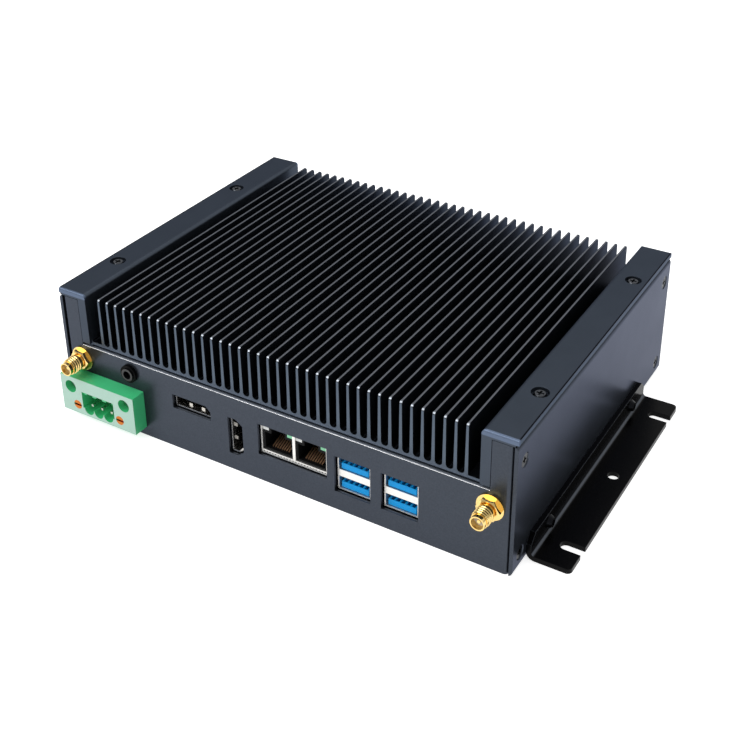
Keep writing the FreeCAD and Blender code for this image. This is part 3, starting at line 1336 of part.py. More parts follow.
def make_leads():
    """Lead headers, power leads from the terminal pins, the jack lead, and the two antenna leads."""
    header_low = d.board_bottom - d.power_header_height
    keep(box("power_header", centred(power_header_x, d.power_header_width),
             centred(power_header_y, d.power_header_depth), (header_low, d.board_bottom)))
    tail_rear = panel_back + d.terminal_body_depth + d.terminal_tail_length
    pin_z = d.terminal_z - d.terminal_pin_drop
    entry_x, entry_z = power_header_x - d.power_header_width / 2, header_low + d.power_header_height / 3
    leads = []
    for count, pole in enumerate(pole_places()):
        entry_y = power_header_y + (1 - count) * d.terminal_pitch
        leads.append(lead(f"power_lead_{count}", d.power_lead_diameter,
                          [(pole, tail_rear, pin_z), (pole, tail_rear + 16, pin_z),
                           (entry_x - 14, entry_y, entry_z), (entry_x, entry_y, entry_z)]))
    keep(group("power_leads", leads))

    jack_rear = panel_back + d.jack_body_length
    jack_entry = board_left + d.holder_floor
    keep(box("jack_header", (jack_entry, jack_entry + d.jack_header_width),
             centred(jack_header_y, d.jack_header_depth), (board_top, board_top + d.jack_header_height)))
    jack_entry_z = board_top + d.jack_header_height / 2
    keep(lead("jack_lead", d.jack_lead_diameter,
              [(jack_x, jack_rear, d.jack_z), (jack_x, jack_rear + 9, d.jack_z),
               (jack_entry - 7, jack_header_y, jack_entry_z), (jack_entry, jack_header_y, jack_entry_z)]))

    start_y = panel_back + d.antenna_rear_length
    radio_low = d.board_bottom - d.card_drop - d.card_thickness - d.chip_height
    radio_rear = radio_front + d.card_socket_depth - d.card_slot_depth + d.radio_length
    plug_y = radio_rear - 3 * d.chip_margin
    left_plug, right_plug = radio_x - d.chip_margin, radio_x + d.chip_margin
    keep(lead("left_antenna_lead", d.antenna_lead_diameter,
              [(-antenna_x, start_y, d.antenna_z), (-antenna_x, start_y + 14, d.antenna_z),
               (-83, -24, 21), (-60, 20, 13), (-15, 42, 11), (30, 40, 9),
               (left_plug, plug_y, radio_low - 14), (left_plug, plug_y, radio_low)]))
    keep(lead("right_antenna_lead", d.antenna_lead_diameter,
              [(antenna_x, start_y, d.antenna_z), (antenna_x, start_y + 14, d.antenna_z),
               (86, -24, 20), (74, 4, 10), (right_plug, plug_y, radio_low - 14),
               (right_plug, plug_y, radio_low)]))


make_heatsink()
make_chassis()
make_front_panel()
make_rear_panel()
make_bracket("right_mounting_bracket", 1)
make_bracket("left_mounting_bracket", -1)
make_screws()
make_mainboard()
make_heat_path()
make_memory()
make_card("storage", d.board_middle_x + d.storage_x, board_front + d.storage_from_front, d.storage_length)
make_card("radio", radio_x, radio_front, d.radio_length)
make_coin_cell()
make_data_ports()
make_network_jack()
make_video_port("wide_video", upright=False)
make_video_port("upright_video", upright=True)
make_round_jack()
make_antennas()
make_terminal_header()
make_leads()
doc.recompute()

for thing in doc.Objects:
    if "Invalid" in thing.State or "Error" in thing.State:
        raise RuntimeError(f"{thing.Label} failed: {thing.State}")
for node in nodes:
    if node.Shape.isNull() or not node.Shape.isValid() or not node.Shape.Solids:
        raise RuntimeError(f"{node.Label} has no valid shape")

os.makedirs("parts", exist_ok=True)
for node in nodes:
    node.Shape.exportStep(f"parts/{node.Label}.step")
print(f"{len(nodes)} sub-parts written")
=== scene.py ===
"""Look of a fanless embedded computer: finishes for its parts, set-back ports, antenna threads and a stage.

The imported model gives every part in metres, +Z up, front with the ports towards -Y.
"""
import math

import bpy
import numpy as np
from mathutils import Euler, Matrix, Vector


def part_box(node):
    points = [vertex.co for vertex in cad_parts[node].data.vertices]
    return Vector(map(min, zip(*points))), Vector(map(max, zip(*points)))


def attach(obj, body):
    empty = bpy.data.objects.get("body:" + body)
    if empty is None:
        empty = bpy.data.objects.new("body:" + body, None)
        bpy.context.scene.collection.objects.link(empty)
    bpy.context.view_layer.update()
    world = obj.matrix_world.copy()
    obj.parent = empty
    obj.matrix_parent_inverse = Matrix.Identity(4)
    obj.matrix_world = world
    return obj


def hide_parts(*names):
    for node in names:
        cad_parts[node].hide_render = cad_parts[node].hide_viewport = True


bl_info = {
    "name": "Embedded computer finishes",
    "version": (1, 0, 0),
    "blender": (4, 5, 0),
    "location": "View3D > Sidebar > Computer",
    "description": "Finishes, set-back ports, threads and a studio stage for a fanless embedded computer",
    "category": "Object",
}

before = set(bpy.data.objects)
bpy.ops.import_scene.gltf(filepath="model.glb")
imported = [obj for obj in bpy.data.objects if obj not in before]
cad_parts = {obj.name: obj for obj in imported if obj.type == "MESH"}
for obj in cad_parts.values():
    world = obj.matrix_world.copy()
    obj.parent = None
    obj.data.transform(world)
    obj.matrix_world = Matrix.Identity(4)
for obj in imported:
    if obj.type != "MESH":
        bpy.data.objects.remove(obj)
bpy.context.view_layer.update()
HEATSINK_LOW, HEATSINK_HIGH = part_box("heatsink")
MM = 0.001


# Colours, nodes and meshes

def linear(code):
    """Linear red, green, blue and alpha of an sRGB hex colour."""
    parts = np.array([int(code[i:i + 2], 16) for i in (1, 3, 5)]) / 255
    parts = np.where(parts <= 0.04045, parts / 12.92, ((parts + 0.055) / 1.055) ** 2.4)
    return (*(float(part) for part in parts), 1.0)


def shade(colour, factor):
    """A linear colour made darker or paler by a factor."""
    return (*(factor * part for part in colour[:3]), 1.0)


def per_metre(millimetres):
    """Texture scale at which one feature is that many millimetres long."""
    return 1000 / millimetres


def add_node(tree, kind, sockets=None, **settings):
    """Adds a node with its settings. A socket takes a value, or the output that is linked to it."""
    made = tree.nodes.new(kind)
    for name, value in settings.items():
        setattr(made, name, value)
    for key, value in (sockets or {}).items():
        if isinstance(value, bpy.types.NodeSocket):
            tree.links.new(value, made.inputs[key])
        else:
            made.inputs[key].default_value = value
    return made


def new_material(name):
    """An empty node material and its tree."""
    material = bpy.data.materials.new(name)
    material.use_nodes = True
    material.node_tree.nodes.clear()
    return material, material.node_tree


def new_finish(name):
    """An empty material for pieces: the material, its tree, and the piece's own Object coordinates.

    In its colour mixes socket 0 is the factor, 6 and 7 are the colours, and output 2 is the mixed colour.
    """
    material, tree = new_material(name)
    return material, tree, add_node(tree, "ShaderNodeTexCoord").outputs["Object"]


def dress(material, *names):
    """Gives a material to CAD nodes through their objects' slots."""
    for name in names:
        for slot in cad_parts[name].material_slots:
            slot.material = material


def surface(points, closed=False):
    """Quads over a grid of points [u, v, xyz]; with closed, the last column in v joins the first."""
    rows, columns = points.shape[:2]
    index = np.arange(rows * columns).reshape(rows, columns)
    if closed:
        index = np.hstack([index, index[:, :1]])
    quads = np.stack([index[:-1, :-1], index[1:, :-1], index[1:, 1:], index[:-1, 1:]], axis=-1)
    return points.reshape(-1, 3), quads.reshape(-1, 4)


def outward(points, quads):
    """The quads of a closed surface, turned outwards by the sign of the volume that they enclose."""
    a, b, c, d = (points[quads[:, corner]] for corner in range(4))
    volume = (a * np.cross(b, c)).sum() + (a * np.cross(c, d)).sum()
    return quads if volume > 0 else quads[:, ::-1]


def new_mesh(name, points, quads, material):
    """A flat-shaded mesh in one material."""
    mesh = bpy.data.meshes.new(name)
    mesh.from_pydata(points.tolist(), [], quads.tolist())
    mesh.materials.append(material)
    mesh.update()
    return mesh


def add_object(name, data):
    """A scene object at the origin for a mesh, light or camera."""
    made = bpy.data.objects.new(name, data)
    bpy.context.scene.collection.objects.link(made)
    return made


# Sizes and colours

class ComputerColours(bpy.types.PropertyGroup):
    """Base colours of the finishes."""
    anodised: bpy.props.FloatVectorProperty(
        name="Anodised black", description="Dyed oxide on the heatsink", subtype="COLOR", size=4,
        default=linear("#454c56"))
    coating: bpy.props.FloatVectorProperty(
        name="Powder coat", description="Black coating on the folded sheets", subtype="COLOR", size=4,
        default=linear("#3e434b"))
    nickel: bpy.props.FloatVectorProperty(
        name="Nickel plate", description="Shells of the data and network ports", subtype="COLOR", size=4,
        default=linear("#eceae6"))
    gold: bpy.props.FloatVectorProperty(
        name="Gold plate", description="Antenna connectors and data contacts", subtype="COLOR", size=4,
        default=linear("#f0cf86"))
    green: bpy.props.FloatVectorProperty(
        name="Green polyamide", description="Terminal header", subtype="COLOR", size=4,
        default=linear("#46cc86"))
    blue: bpy.props.FloatVectorProperty(
        name="Blue polyester", description="Tongues of the data ports", subtype="COLOR", size=4,
        default=linear("#1ea6f2"))
    black: bpy.props.FloatVectorProperty(
        name="Black plastic", description="Network housings, video tongues and the round jack",
        subtype="COLOR", size=4, default=linear("#0d0e10"))


class CaseLines(bpy.types.PropertyGroup):
    """Lines on the case where a finish, painted highlight or painted shade starts, and the strips' widths.
    """
    case_half: bpy.props.FloatProperty(
        name="Case half width", description="Half the case's width, to the rails' outer faces",
        default=HEATSINK_HIGH.x, unit="LENGTH")
    case_end: bpy.props.FloatProperty(
        name="Case end", description="Half the case's depth, to the faces of the end panels",
        default=HEATSINK_HIGH.y, unit="LENGTH")
    rail_top: bpy.props.FloatProperty(
        name="Rail top", description="Height of the rails' upper faces", default=HEATSINK_HIGH.z,
        unit="LENGTH")
    rail_edge: bpy.props.FloatProperty(
        name="Rail edge", description="Height of the lower edge of the rails' lips",
        default=HEATSINK_HIGH.z - 2.1 * MM, unit="LENGTH")
    groove_top: bpy.props.FloatProperty(
        name="Groove top", description="Height of the grooves under the lips",
        default=HEATSINK_HIGH.z - 2.18 * MM, unit="LENGTH")
    groove_depth: bpy.props.FloatProperty(
        name="Groove depth", description="How far the grooves go in from the rails' outer faces",
        default=0.0012, unit="LENGTH")
    # The dark line along the lips' corners is painted shade
    lip_shade_line: bpy.props.FloatProperty(
        name="Lip corner", description="Width of the dark line along the lips' upper corners",
        default=0.0004, unit="LENGTH")
    # The rails' paler end edges are a painted highlight
    end_edge_highlight: bpy.props.FloatProperty(
        name="End edge", description="Width of the rails' broken end edges", default=0.00095, unit="LENGTH")
    panel_top: bpy.props.FloatProperty(
        name="Panel top", description="Height of the end panels' cut upper edge",
        default=HEATSINK_LOW.z + 2 * MM, unit="LENGTH")
    panel_half: bpy.props.FloatProperty(
        name="Panel half width", description="Half the length of that edge, up to the ears",
        default=HEATSINK_HIGH.x - 9.6 * MM, unit="LENGTH")
    # The bright line is a painted highlight
    bright_corner: bpy.props.FloatProperty(
        name="Bright corner", description="Width of the bright line along that edge", default=0.0006,
        unit="LENGTH")
    joint: bpy.props.FloatProperty(
        name="Joint", description="Height of the dark joint above that edge", default=0.00075, unit="LENGTH")
    milled_end: bpy.props.FloatProperty(
        name="Milled end", description="Half the length of the fins, to their milled ends",
        default=HEATSINK_HIGH.y - 1.4 * MM, unit="LENGTH")
    fin_half: bpy.props.FloatProperty(
        name="Fin half width", description="Half the width between the rails",
        default=HEATSINK_HIGH.x - 13.6 * MM, unit="LENGTH")
    fin_root: bpy.props.FloatProperty(
        name="Fin root", description="Height of the slots' floors", default=HEATSINK_LOW.z + 3.8 * MM,
        unit="LENGTH")
    fin_top: bpy.props.FloatProperty(
        name="Fin top", description="Height of the fins' tips", default=HEATSINK_HIGH.z - 1 * MM,
        unit="LENGTH")
    # The fins' pale corners are a painted highlight
    fin_corner_highlight: bpy.props.FloatProperty(
        name="Fin corner", description="Size of the rubbed corner at each fin's end", default=0.0007,
        unit="LENGTH")


class PortSizes(bpy.types.PropertyGroup):
    """How deep the ports lie."""
    data_depth: bpy.props.FloatProperty(
        name="Data ports", description="How far the data ports' fronts are pushed in", default=0.00075,
        unit="LENGTH")
    other_depth: bpy.props.FloatProperty(
        name="Other ports", description="How far the network and video ports' fronts are pushed in",
        default=0.00055, unit="LENGTH")
    fade: bpy.props.FloatProperty(
        name="Fade", description="Depth from which nothing is moved", default=0.008, unit="LENGTH")


class ThreadSizes(bpy.types.PropertyGroup):
    """Sizes of the antenna connectors' thread."""
    pitch: bpy.props.FloatProperty(
        name="Pitch", description="Rise in one turn, half as much again as the real one so that it shows",
        default=0.00105, min=0.0002, unit="LENGTH")
    height: bpy.props.FloatProperty(
        name="Height", description="How far a ridge stands proud of the barrel", default=0.00028,
        unit="LENGTH")
    radius: bpy.props.FloatProperty(
        name="Barrel", description="Radius of the barrel under the thread", default=0.0031, unit="LENGTH")
    sunk: bpy.props.FloatProperty(
        name="Foot", description="How far the foot of a ridge lies inside the barrel", default=0.00006,
        unit="LENGTH")
    collar: bpy.props.FloatProperty(
        name="Collar", description="Length of the plain collar in front", default=0.0017, unit="LENGTH")
    relief: bpy.props.FloatProperty(
        name="Relief", description="Length of the groove behind the thread", default=0.0006, unit="LENGTH")
    turn_steps: bpy.props.IntProperty(
        name="Steps", description="Sections in one turn", default=40, min=12)


class StageSettings(bpy.types.PropertyGroup):
    """Camera, lights and floor."""
    camera_place: bpy.props.FloatVectorProperty(
        name="Camera place", description="Where the camera stands", subtype="TRANSLATION", unit="LENGTH",
        default=(0.227158, -0.377474, 0.298327))
    camera_turn: bpy.props.FloatVectorProperty(
        name="Camera turn", description="How the camera is turned", subtype="EULER", unit="ROTATION",
        default=tuple(math.radians(angle) for angle in (63.5491, 0.4909, 30.9991)))
    lens: bpy.props.FloatProperty(
        name="Lens", description="Focal length on a 36 mm sensor", default=60.658, unit="CAMERA")
    shift: bpy.props.FloatProperty(
        name="Rise", description="Upward shift of the lens, in widths of the picture", default=-0.2)
    key_power: bpy.props.FloatProperty(
        name="Key", description="Large soft light at the front left", default=7.0, unit="POWER")
    rear_power: bpy.props.FloatProperty(
        name="Rear", description="Wide soft light behind, to the right", default=1.5, unit="POWER")
    top_power: bpy.props.FloatProperty(
        name="Top", description="Soft light overhead", default=3.0, unit="POWER")
    room: bpy.props.FloatProperty(
        name="Room", description="Even light from all round", default=0.6, min=0)
    floor_lift: bpy.props.FloatProperty(
        name="Floor lift", description="Brightness added to the floor in the picture and in reflections",
        default=0.72, min=0)
    floor_half: bpy.props.FloatProperty(
        name="Floor half width", description="Half the width of the floor", default=3.0, unit="LENGTH")
    floor_drop: bpy.props.FloatProperty(
        name="Floor drop", description="How far the floor lies below the case's underside", default=0.00002,
        unit="LENGTH")


# Finishes

def anodised_extrusion(colour, lines):
    """Black anodised aluminium, extruded, ends milled: satin, with faint die lines along the fins.

    The dyed oxide lets some metal through, so it mirrors more than paint does. Painted shade darkens the
    fins towards the floors of the slots and makes the grooves under the rails' lips near black, and the
    strip just above each end panel is left dark. The milled ends are a paler finish, darkened towards the
    panel by painted shade. Painted highlights make the lips, the fins' tips and corners and the rails'
    broken end edges paler, and all edges are softened by a quarter millimetre.
    """
    material, tree, place = new_finish("anodised aluminium, extruded black")
    along = add_node(tree, "ShaderNodeMapping", {
        "Vector": place, "Scale": (per_metre(0.5), per_metre(60), per_metre(0.5))})
    drawn = add_node(tree, "ShaderNodeTexNoise", {"Vector": along.outputs[0], "Scale": 1.0, "Detail": 3.0})
    cloud = add_node(tree, "ShaderNodeTexNoise", {"Vector": place, "Scale": per_metre(14), "Detail": 4.0})
    axes = add_node(tree, "ShaderNodeSeparateXYZ", {"Vector": place})
    side = add_node(tree, "ShaderNodeMath", {0: axes.outputs[0]}, operation="ABSOLUTE").outputs[0]
    depth = add_node(tree, "ShaderNodeMath", {0: axes.outputs[1]}, operation="ABSOLUTE").outputs[0]
    height = axes.outputs[2]

    # Each mask is 1 on one side of a line of the case, and a face counts from a little short of its line
    end_slack, tip_slack, lip_slack = 0.05 * MM, 0.1 * MM, 0.02 * MM
    where = {}
    for part, value, test, line in (
            ("fins", side, "LESS_THAN", lines.fin_half),
            ("rails", side, "GREATER_THAN", lines.fin_half),
            ("milled end", depth, "GREATER_THAN", lines.milled_end - end_slack),
            ("above joint", height, "GREATER_THAN", lines.panel_top + lines.joint),
            ("near fin end", depth, "GREATER_THAN", lines.milled_end - lines.fin_corner_highlight),
            ("near fin tip", height, "GREATER_THAN", lines.fin_top - lines.fin_corner_highlight),
            ("fin tip", height, "GREATER_THAN", lines.fin_top - tip_slack),
            ("rail end", depth, "GREATER_THAN", lines.case_end - lines.end_edge_highlight),
            ("above groove", height, "GREATER_THAN", lines.rail_edge),
            ("lip", side, "GREATER_THAN", lines.case_half - lip_slack),
            ("near lip", side, "GREATER_THAN", lines.case_half - lines.lip_shade_line),
            ("near rail top", height, "GREATER_THAN", lines.rail_top - lines.lip_shade_line),
            ("groove", side, "GREATER_THAN", lines.case_half - lines.groove_depth),
            ("under lip", height, "LESS_THAN", lines.groove_top)):
        where[part] = add_node(tree, "ShaderNodeMath", {0: value, 1: line}, operation=test).outputs[0]
    where["clear end"] = add_node(tree, "ShaderNodeMath", {0: where["milled end"], 1: where["above joint"]},
                                  operation="MULTIPLY").outputs[0]
    # Painted shade: the milled ends' paler finish fades out towards the end panel
    painted_shade_height = 6 * MM
    where["rise"] = add_node(tree, "ShaderNodeMapRange", {
        "Value": height, "From Min": lines.panel_top, "From Max": lines.panel_top + painted_shade_height,
        "To Min": 0.25, "To Max": 1.0}).outputs[0]

    # Painted shade: the fins darken towards the floors of the slots, except on the rails and the milled ends
    painted_slot_shade = add_node(tree, "ShaderNodeMapRange", {
        "Value": height, "From Min": lines.fin_root, "From Max": lines.fin_top,
        "To Min": 0.1, "To Max": 0.5})
    for part in ("rails", "clear end"):
        painted_slot_shade = add_node(tree, "ShaderNodeMath", {0: painted_slot_shade.outputs[0], 1: where[part]},
                           operation="MAXIMUM")
    tint = add_node(tree, "ShaderNodeMix", {
        0: cloud.outputs[0], 6: shade(colour, 0.8), 7: tuple(colour)}, data_type="RGBA")
    tint = add_node(tree, "ShaderNodeMix", {
        0: painted_slot_shade.outputs[0], 6: linear("#0a0c0f"), 7: tint.outputs[2]}, data_type="RGBA")
    # Colour, and the three masks that have to meet
    for code, first, second, third in (
            # Milled ends, a paler finish, faded near the panel by the painted shade of the rise mask
            ("#535d69", "clear end", "rise", "fins"),
            # Painted highlight on the fins' corners at their ends
            ("#a2a8b0", "near fin end", "near fin tip", "fins"),
            # Painted highlight on the fins' tips
            ("#6a6d73", "fin tip", "fins", "fins"),
            # Painted highlight on the lips' outer faces
            ("#555e6a", "lip", "above groove", "rails"),
            # Painted shade: a dark line along the lips' upper corners
            ("#0e1013", "near lip", "near rail top", "rails"),
            # Painted shade: the grooves under the lips, near black
            ("#040506", "groove", "under lip", "rails"),
            # Painted highlight on the rails' end edges
            ("#5a667a", "rail end", "above groove", "rails")):
        mask = add_node(tree, "ShaderNodeMath", {0: where[first], 1: where[second]}, operation="MULTIPLY")
        mask = add_node(tree, "ShaderNodeMath", {0: mask.outputs[0], 1: where[third]}, operation="MULTIPLY")
        tint = add_node(tree, "ShaderNodeMix", {
            0: mask.outputs[0], 6: tint.outputs[2], 7: linear(code)}, data_type="RGBA")

    rough = add_node(tree, "ShaderNodeMapRange", {"Value": drawn.outputs[0], "To Min": 0.3, "To Max": 0.46})
    soft = add_node(tree, "ShaderNodeBevel", {"Radius": 0.25 * MM}, samples=4)
    bump = add_node(tree, "ShaderNodeBump", {
        "Height": drawn.outputs[0], "Strength": 0.15, "Distance": 0.02 * MM, "Normal": soft.outputs[0]})
    shader = add_node(tree, "ShaderNodeBsdfPrincipled", {
        "Base Color": tint.outputs[2], "Metallic": 0.85, "Roughness": rough.outputs[0],
        "Specular Tint": linear("#a9adb9"), "Normal": bump.outputs[0]})
    add_node(tree, "ShaderNodeOutputMaterial", {"Surface": shader.outputs[0]})
    return material


def coated_sheet(colour, lines):
    """Steel sheet under a black powder coat with metal flake: dark, with a cool satin sheen and a speckle.

    The flake is about 0.1 mm and is drawn at 0.55 mm so that it shows. It mirrors as metal does, but its
    blue black binder takes the white out of flat glances. The upper edge of each end panel is cut after
    coating, so dull bare steel shows there; a thin near white line along its outer corner is a painted
    highlight.
    """
    material, tree, place = new_finish("powder-coated steel sheet, black with metal flake")
    flake = add_node(tree, "ShaderNodeTexNoise", {"Vector": place, "Scale": per_metre(0.55), "Detail": 2.0})
    cloud = add_node(tree, "ShaderNodeTexNoise", {"Vector": place, "Scale": per_metre(20), "Detail": 3.0})
    axes = add_node(tree, "ShaderNodeSeparateXYZ", {"Vector": place})
    side = add_node(tree, "ShaderNodeMath", {0: axes.outputs[0]}, operation="ABSOLUTE").outputs[0]
    depth = add_node(tree, "ShaderNodeMath", {0: axes.outputs[1]}, operation="ABSOLUTE").outputs[0]

    # As on the heatsink, each mask is 1 on one side of a line, and a face counts from a little short of it
    slack = 0.1 * MM
    where = {}
    for part, value, test, line in (
            ("panel", side, "LESS_THAN", lines.panel_half),
            ("top", axes.outputs[2], "GREATER_THAN", lines.panel_top - slack),
            ("edge", depth, "GREATER_THAN", lines.milled_end - slack),
            ("corner", depth, "GREATER_THAN", lines.case_end - lines.bright_corner)):
        where[part] = add_node(tree, "ShaderNodeMath", {0: value, 1: line}, operation=test).outputs[0]
    cut = add_node(tree, "ShaderNodeMath", {0: where["panel"], 1: where["top"]}, operation="MULTIPLY")

    speck = add_node(tree, "ShaderNodeMapRange", {
        "Value": flake.outputs[0], "From Min": 0.3, "From Max": 0.7})
    tint = add_node(tree, "ShaderNodeMix", {
        0: speck.outputs[0], 6: shade(colour, 0.86), 7: shade(colour, 1.06)}, data_type="RGBA")
    # The cut edge's bare steel, then a painted highlight along its outer corner
    for code, part in (("#aab2bd", "edge"), ("#f6f6f8", "corner")):
        bare = add_node(tree, "ShaderNodeMath", {0: cut.outputs[0], 1: where[part]}, operation="MULTIPLY")
        tint = add_node(tree, "ShaderNodeMix", {
            0: bare.outputs[0], 6: tint.outputs[2], 7: linear(code)}, data_type="RGBA")
    rough = add_node(tree, "ShaderNodeMapRange", {"Value": cloud.outputs[0], "To Min": 0.26, "To Max": 0.34})
    soft = add_node(tree, "ShaderNodeBevel", {"Radius": 0.3 * MM}, samples=4)
    bump = add_node(tree, "ShaderNodeBump", {
        "Height": flake.outputs[0], "Strength": 0.3, "Distance": 0.03 * MM, "Normal": soft.outputs[0]})
    shader = add_node(tree, "ShaderNodeBsdfPrincipled", {
        "Base Color": tint.outputs[2], "Metallic": 0.8, "Roughness": rough.outputs[0],
        "Specular Tint": linear("#bfc3d3"), "Normal": bump.outputs[0]})
    add_node(tree, "ShaderNodeOutputMaterial", {"Surface": shader.outputs[0]})
    return material


def baked_bracket():
    """Steel bracket dipped and baked deep black: darker than the case, with a pale fold and upright edges.

    The pale upright edges are partly wear, where the enamel runs thin and rubs through, and partly painted
    highlight; the pale fold is a painted highlight. An edge is where the softened normal leaves the true
    one, and the fold is where a face leans between the foot and the upright. The foot's own edges stay
    black.
    """
    material, tree, place = new_finish("baked enamel on steel brackets, deep black")
    grain = add_node(tree, "ShaderNodeTexNoise", {"Vector": place, "Scale": per_metre(0.8), "Detail": 2.0})
    soft = add_node(tree, "ShaderNodeBevel", {"Radius": 0.25 * MM}, samples=4)
    true = add_node(tree, "ShaderNodeNewGeometry").outputs["Normal"]
    turn = add_node(tree, "ShaderNodeVectorMath", {0: soft.outputs[0], 1: true}, operation="DOT_PRODUCT")
    edge = add_node(tree, "ShaderNodeMapRange", {
        "Value": turn.outputs["Value"], "From Min": 0.98, "From Max": 0.85})
    foot_top, upright = 3 * MM, 6 * MM
    axes = add_node(tree, "ShaderNodeSeparateXYZ", {"Vector": place})
    rise = add_node(tree, "ShaderNodeMapRange", {
        "Value": axes.outputs[2], "From Min": foot_top, "From Max": upright})
    edge = add_node(tree, "ShaderNodeMath", {0: edge.outputs[0], 1: rise.outputs[0]}, operation="MULTIPLY")
    lean = add_node(tree, "ShaderNodeSeparateXYZ", {"Vector": true})
    lean = add_node(tree, "ShaderNodeMath", {0: lean.outputs[0], 1: lean.outputs[2]}, operation="MULTIPLY")
    lean = add_node(tree, "ShaderNodeMath", {0: lean.outputs[0]}, operation="ABSOLUTE")
    # Painted highlight: the fold between foot and upright is painted pale
    fold = add_node(tree, "ShaderNodeMapRange", {
        "Value": lean.outputs[0], "From Min": 0.25, "From Max": 0.5})
    wear_and_highlight = add_node(tree, "ShaderNodeMath", {0: edge.outputs[0], 1: fold.outputs[0]}, operation="MAXIMUM")
    # Pale upright edges, partly wear and partly painted highlight, and a painted highlight along the fold
    tint = add_node(tree, "ShaderNodeMix", {
        0: grain.outputs[0], 6: linear("#010102"), 7: linear("#050506")}, data_type="RGBA")
    tint = add_node(tree, "ShaderNodeMix", {
        0: wear_and_highlight.outputs[0], 6: tint.outputs[2], 7: linear("#5c6169")}, data_type="RGBA")
    rough = add_node(tree, "ShaderNodeMapRange", {"Value": grain.outputs[0], "To Min": 0.2, "To Max": 0.3})
    bump = add_node(tree, "ShaderNodeBump", {
        "Height": grain.outputs[0], "Strength": 0.2, "Distance": 0.02 * MM, "Normal": soft.outputs[0]})
    shader = add_node(tree, "ShaderNodeBsdfPrincipled", {
        "Base Color": tint.outputs[2], "Roughness": rough.outputs[0], "Specular IOR Level": 0.08,
        "Normal": bump.outputs[0]})
    add_node(tree, "ShaderNodeOutputMaterial", {"Surface": shader.outputs[0]})
    return material


def plated_metal(name, colour, low, high, grain):
    """Plated or turned metal: a clean mirror broken by fine rolling or turning marks.

    The marks are grain millimetres long, and the roughness goes from low to high over them.
    """
    material, tree, place = new_finish(name)
    marks = add_node(tree, "ShaderNodeTexNoise", {"Vector": place, "Scale": per_metre(grain), "Detail": 3.0})
    tint = add_node(tree, "ShaderNodeMix", {
        0: marks.outputs[0], 6: shade(colour, 0.86), 7: tuple(colour)}, data_type="RGBA")
    rough = add_node(tree, "ShaderNodeMapRange", {"Value": marks.outputs[0], "To Min": low, "To Max": high})
    bump = add_node(tree, "ShaderNodeBump", {
        "Height": marks.outputs[0], "Strength": 0.1, "Distance": 0.02 * MM})
    shader = add_node(tree, "ShaderNodeBsdfPrincipled", {
        "Base Color": tint.outputs[2], "Metallic": 1.0, "Roughness": rough.outputs[0],
        "Normal": bump.outputs[0]})
    add_node(tree, "ShaderNodeOutputMaterial", {"Surface": shader.outputs[0]})
    return material


def moulded_plastic(name, colour, low, high, grain, gloss=0.5):
    """Moulded plastic: even colour with slight flow clouds, and the fine spark grain of its mould.

    The mould's grain is grain millimetres long, and the roughness goes from low to high over it.
    """
    material, tree, place = new_finish(name)
    flow = add_node(tree, "ShaderNodeTexNoise", {"Vector": place, "Scale": per_metre(6), "Detail": 3.0})
    spark = add_node(tree, "ShaderNodeTexNoise", {"Vector": place, "Scale": per_metre(grain), "Detail": 2.0})
    tint = add_node(tree, "ShaderNodeMix", {
        0: flow.outputs[0], 6: shade(colour, 0.85), 7: tuple(colour)}, data_type="RGBA")
    rough = add_node(tree, "ShaderNodeMapRange", {"Value": spark.outputs[0], "To Min": low, "To Max": high})
    bump = add_node(tree, "ShaderNodeBump", {
        "Height": spark.outputs[0], "Strength": 0.2, "Distance": 0.02 * MM})
    shader = add_node(tree, "ShaderNodeBsdfPrincipled", {
        "Base Color": tint.outputs[2], "Roughness": rough.outputs[0], "IOR": 1.5,
        "Specular IOR Level": gloss, "Normal": bump.outputs[0]})
    add_node(tree, "ShaderNodeOutputMaterial", {"Surface": shader.outputs[0]})
    return material


def polyamide_header(colour, face):
    """Green polyamide, moulded: a soft gloss on its walls, and a front painted pale as a painted sheen.

    The front is every face that lies at the header's foremost plane.
    """
    material, tree, place = new_finish("polyamide, moulded green, pale front as painted sheen")
    flow = add_node(tree, "ShaderNodeTexNoise", {"Vector": place, "Scale": per_metre(6), "Detail": 3.0})
    spark = add_node(tree, "ShaderNodeTexNoise", {"Vector": place, "Scale": per_metre(0.4), "Detail": 2.0})
    slack = 0.05 * MM
    axes = add_node(tree, "ShaderNodeSeparateXYZ", {"Vector": place})
    front = add_node(tree, "ShaderNodeMath", {0: axes.outputs[1], 1: face + slack}, operation="LESS_THAN")
    body = add_node(tree, "ShaderNodeMix", {
        0: flow.outputs[0], 6: shade(colour, 0.85), 7: tuple(colour)}, data_type="RGBA")
    # Painted sheen: the front faces are painted a pale mint
    painted_sheen = add_node(tree, "ShaderNodeMix", {
        0: spark.outputs[0], 6: linear("#a4ccba"), 7: linear("#b6d5c8")}, data_type="RGBA")
    tint = add_node(tree, "ShaderNodeMix", {
        0: front.outputs[0], 6: body.outputs[2], 7: painted_sheen.outputs[2]}, data_type="RGBA")
    rough = add_node(tree, "ShaderNodeMapRange", {"Value": spark.outputs[0], "To Min": 0.3, "To Max": 0.45})
    bump = add_node(tree, "ShaderNodeBump", {
        "Height": spark.outputs[0], "Strength": 0.2, "Distance": 0.02 * MM})
    shader = add_node(tree, "ShaderNodeBsdfPrincipled", {
        "Base Color": tint.outputs[2], "Roughness": rough.outputs[0], "IOR": 1.53,
        "Normal": bump.outputs[0]})
    add_node(tree, "ShaderNodeOutputMaterial", {"Surface": shader.outputs[0]})
    return material


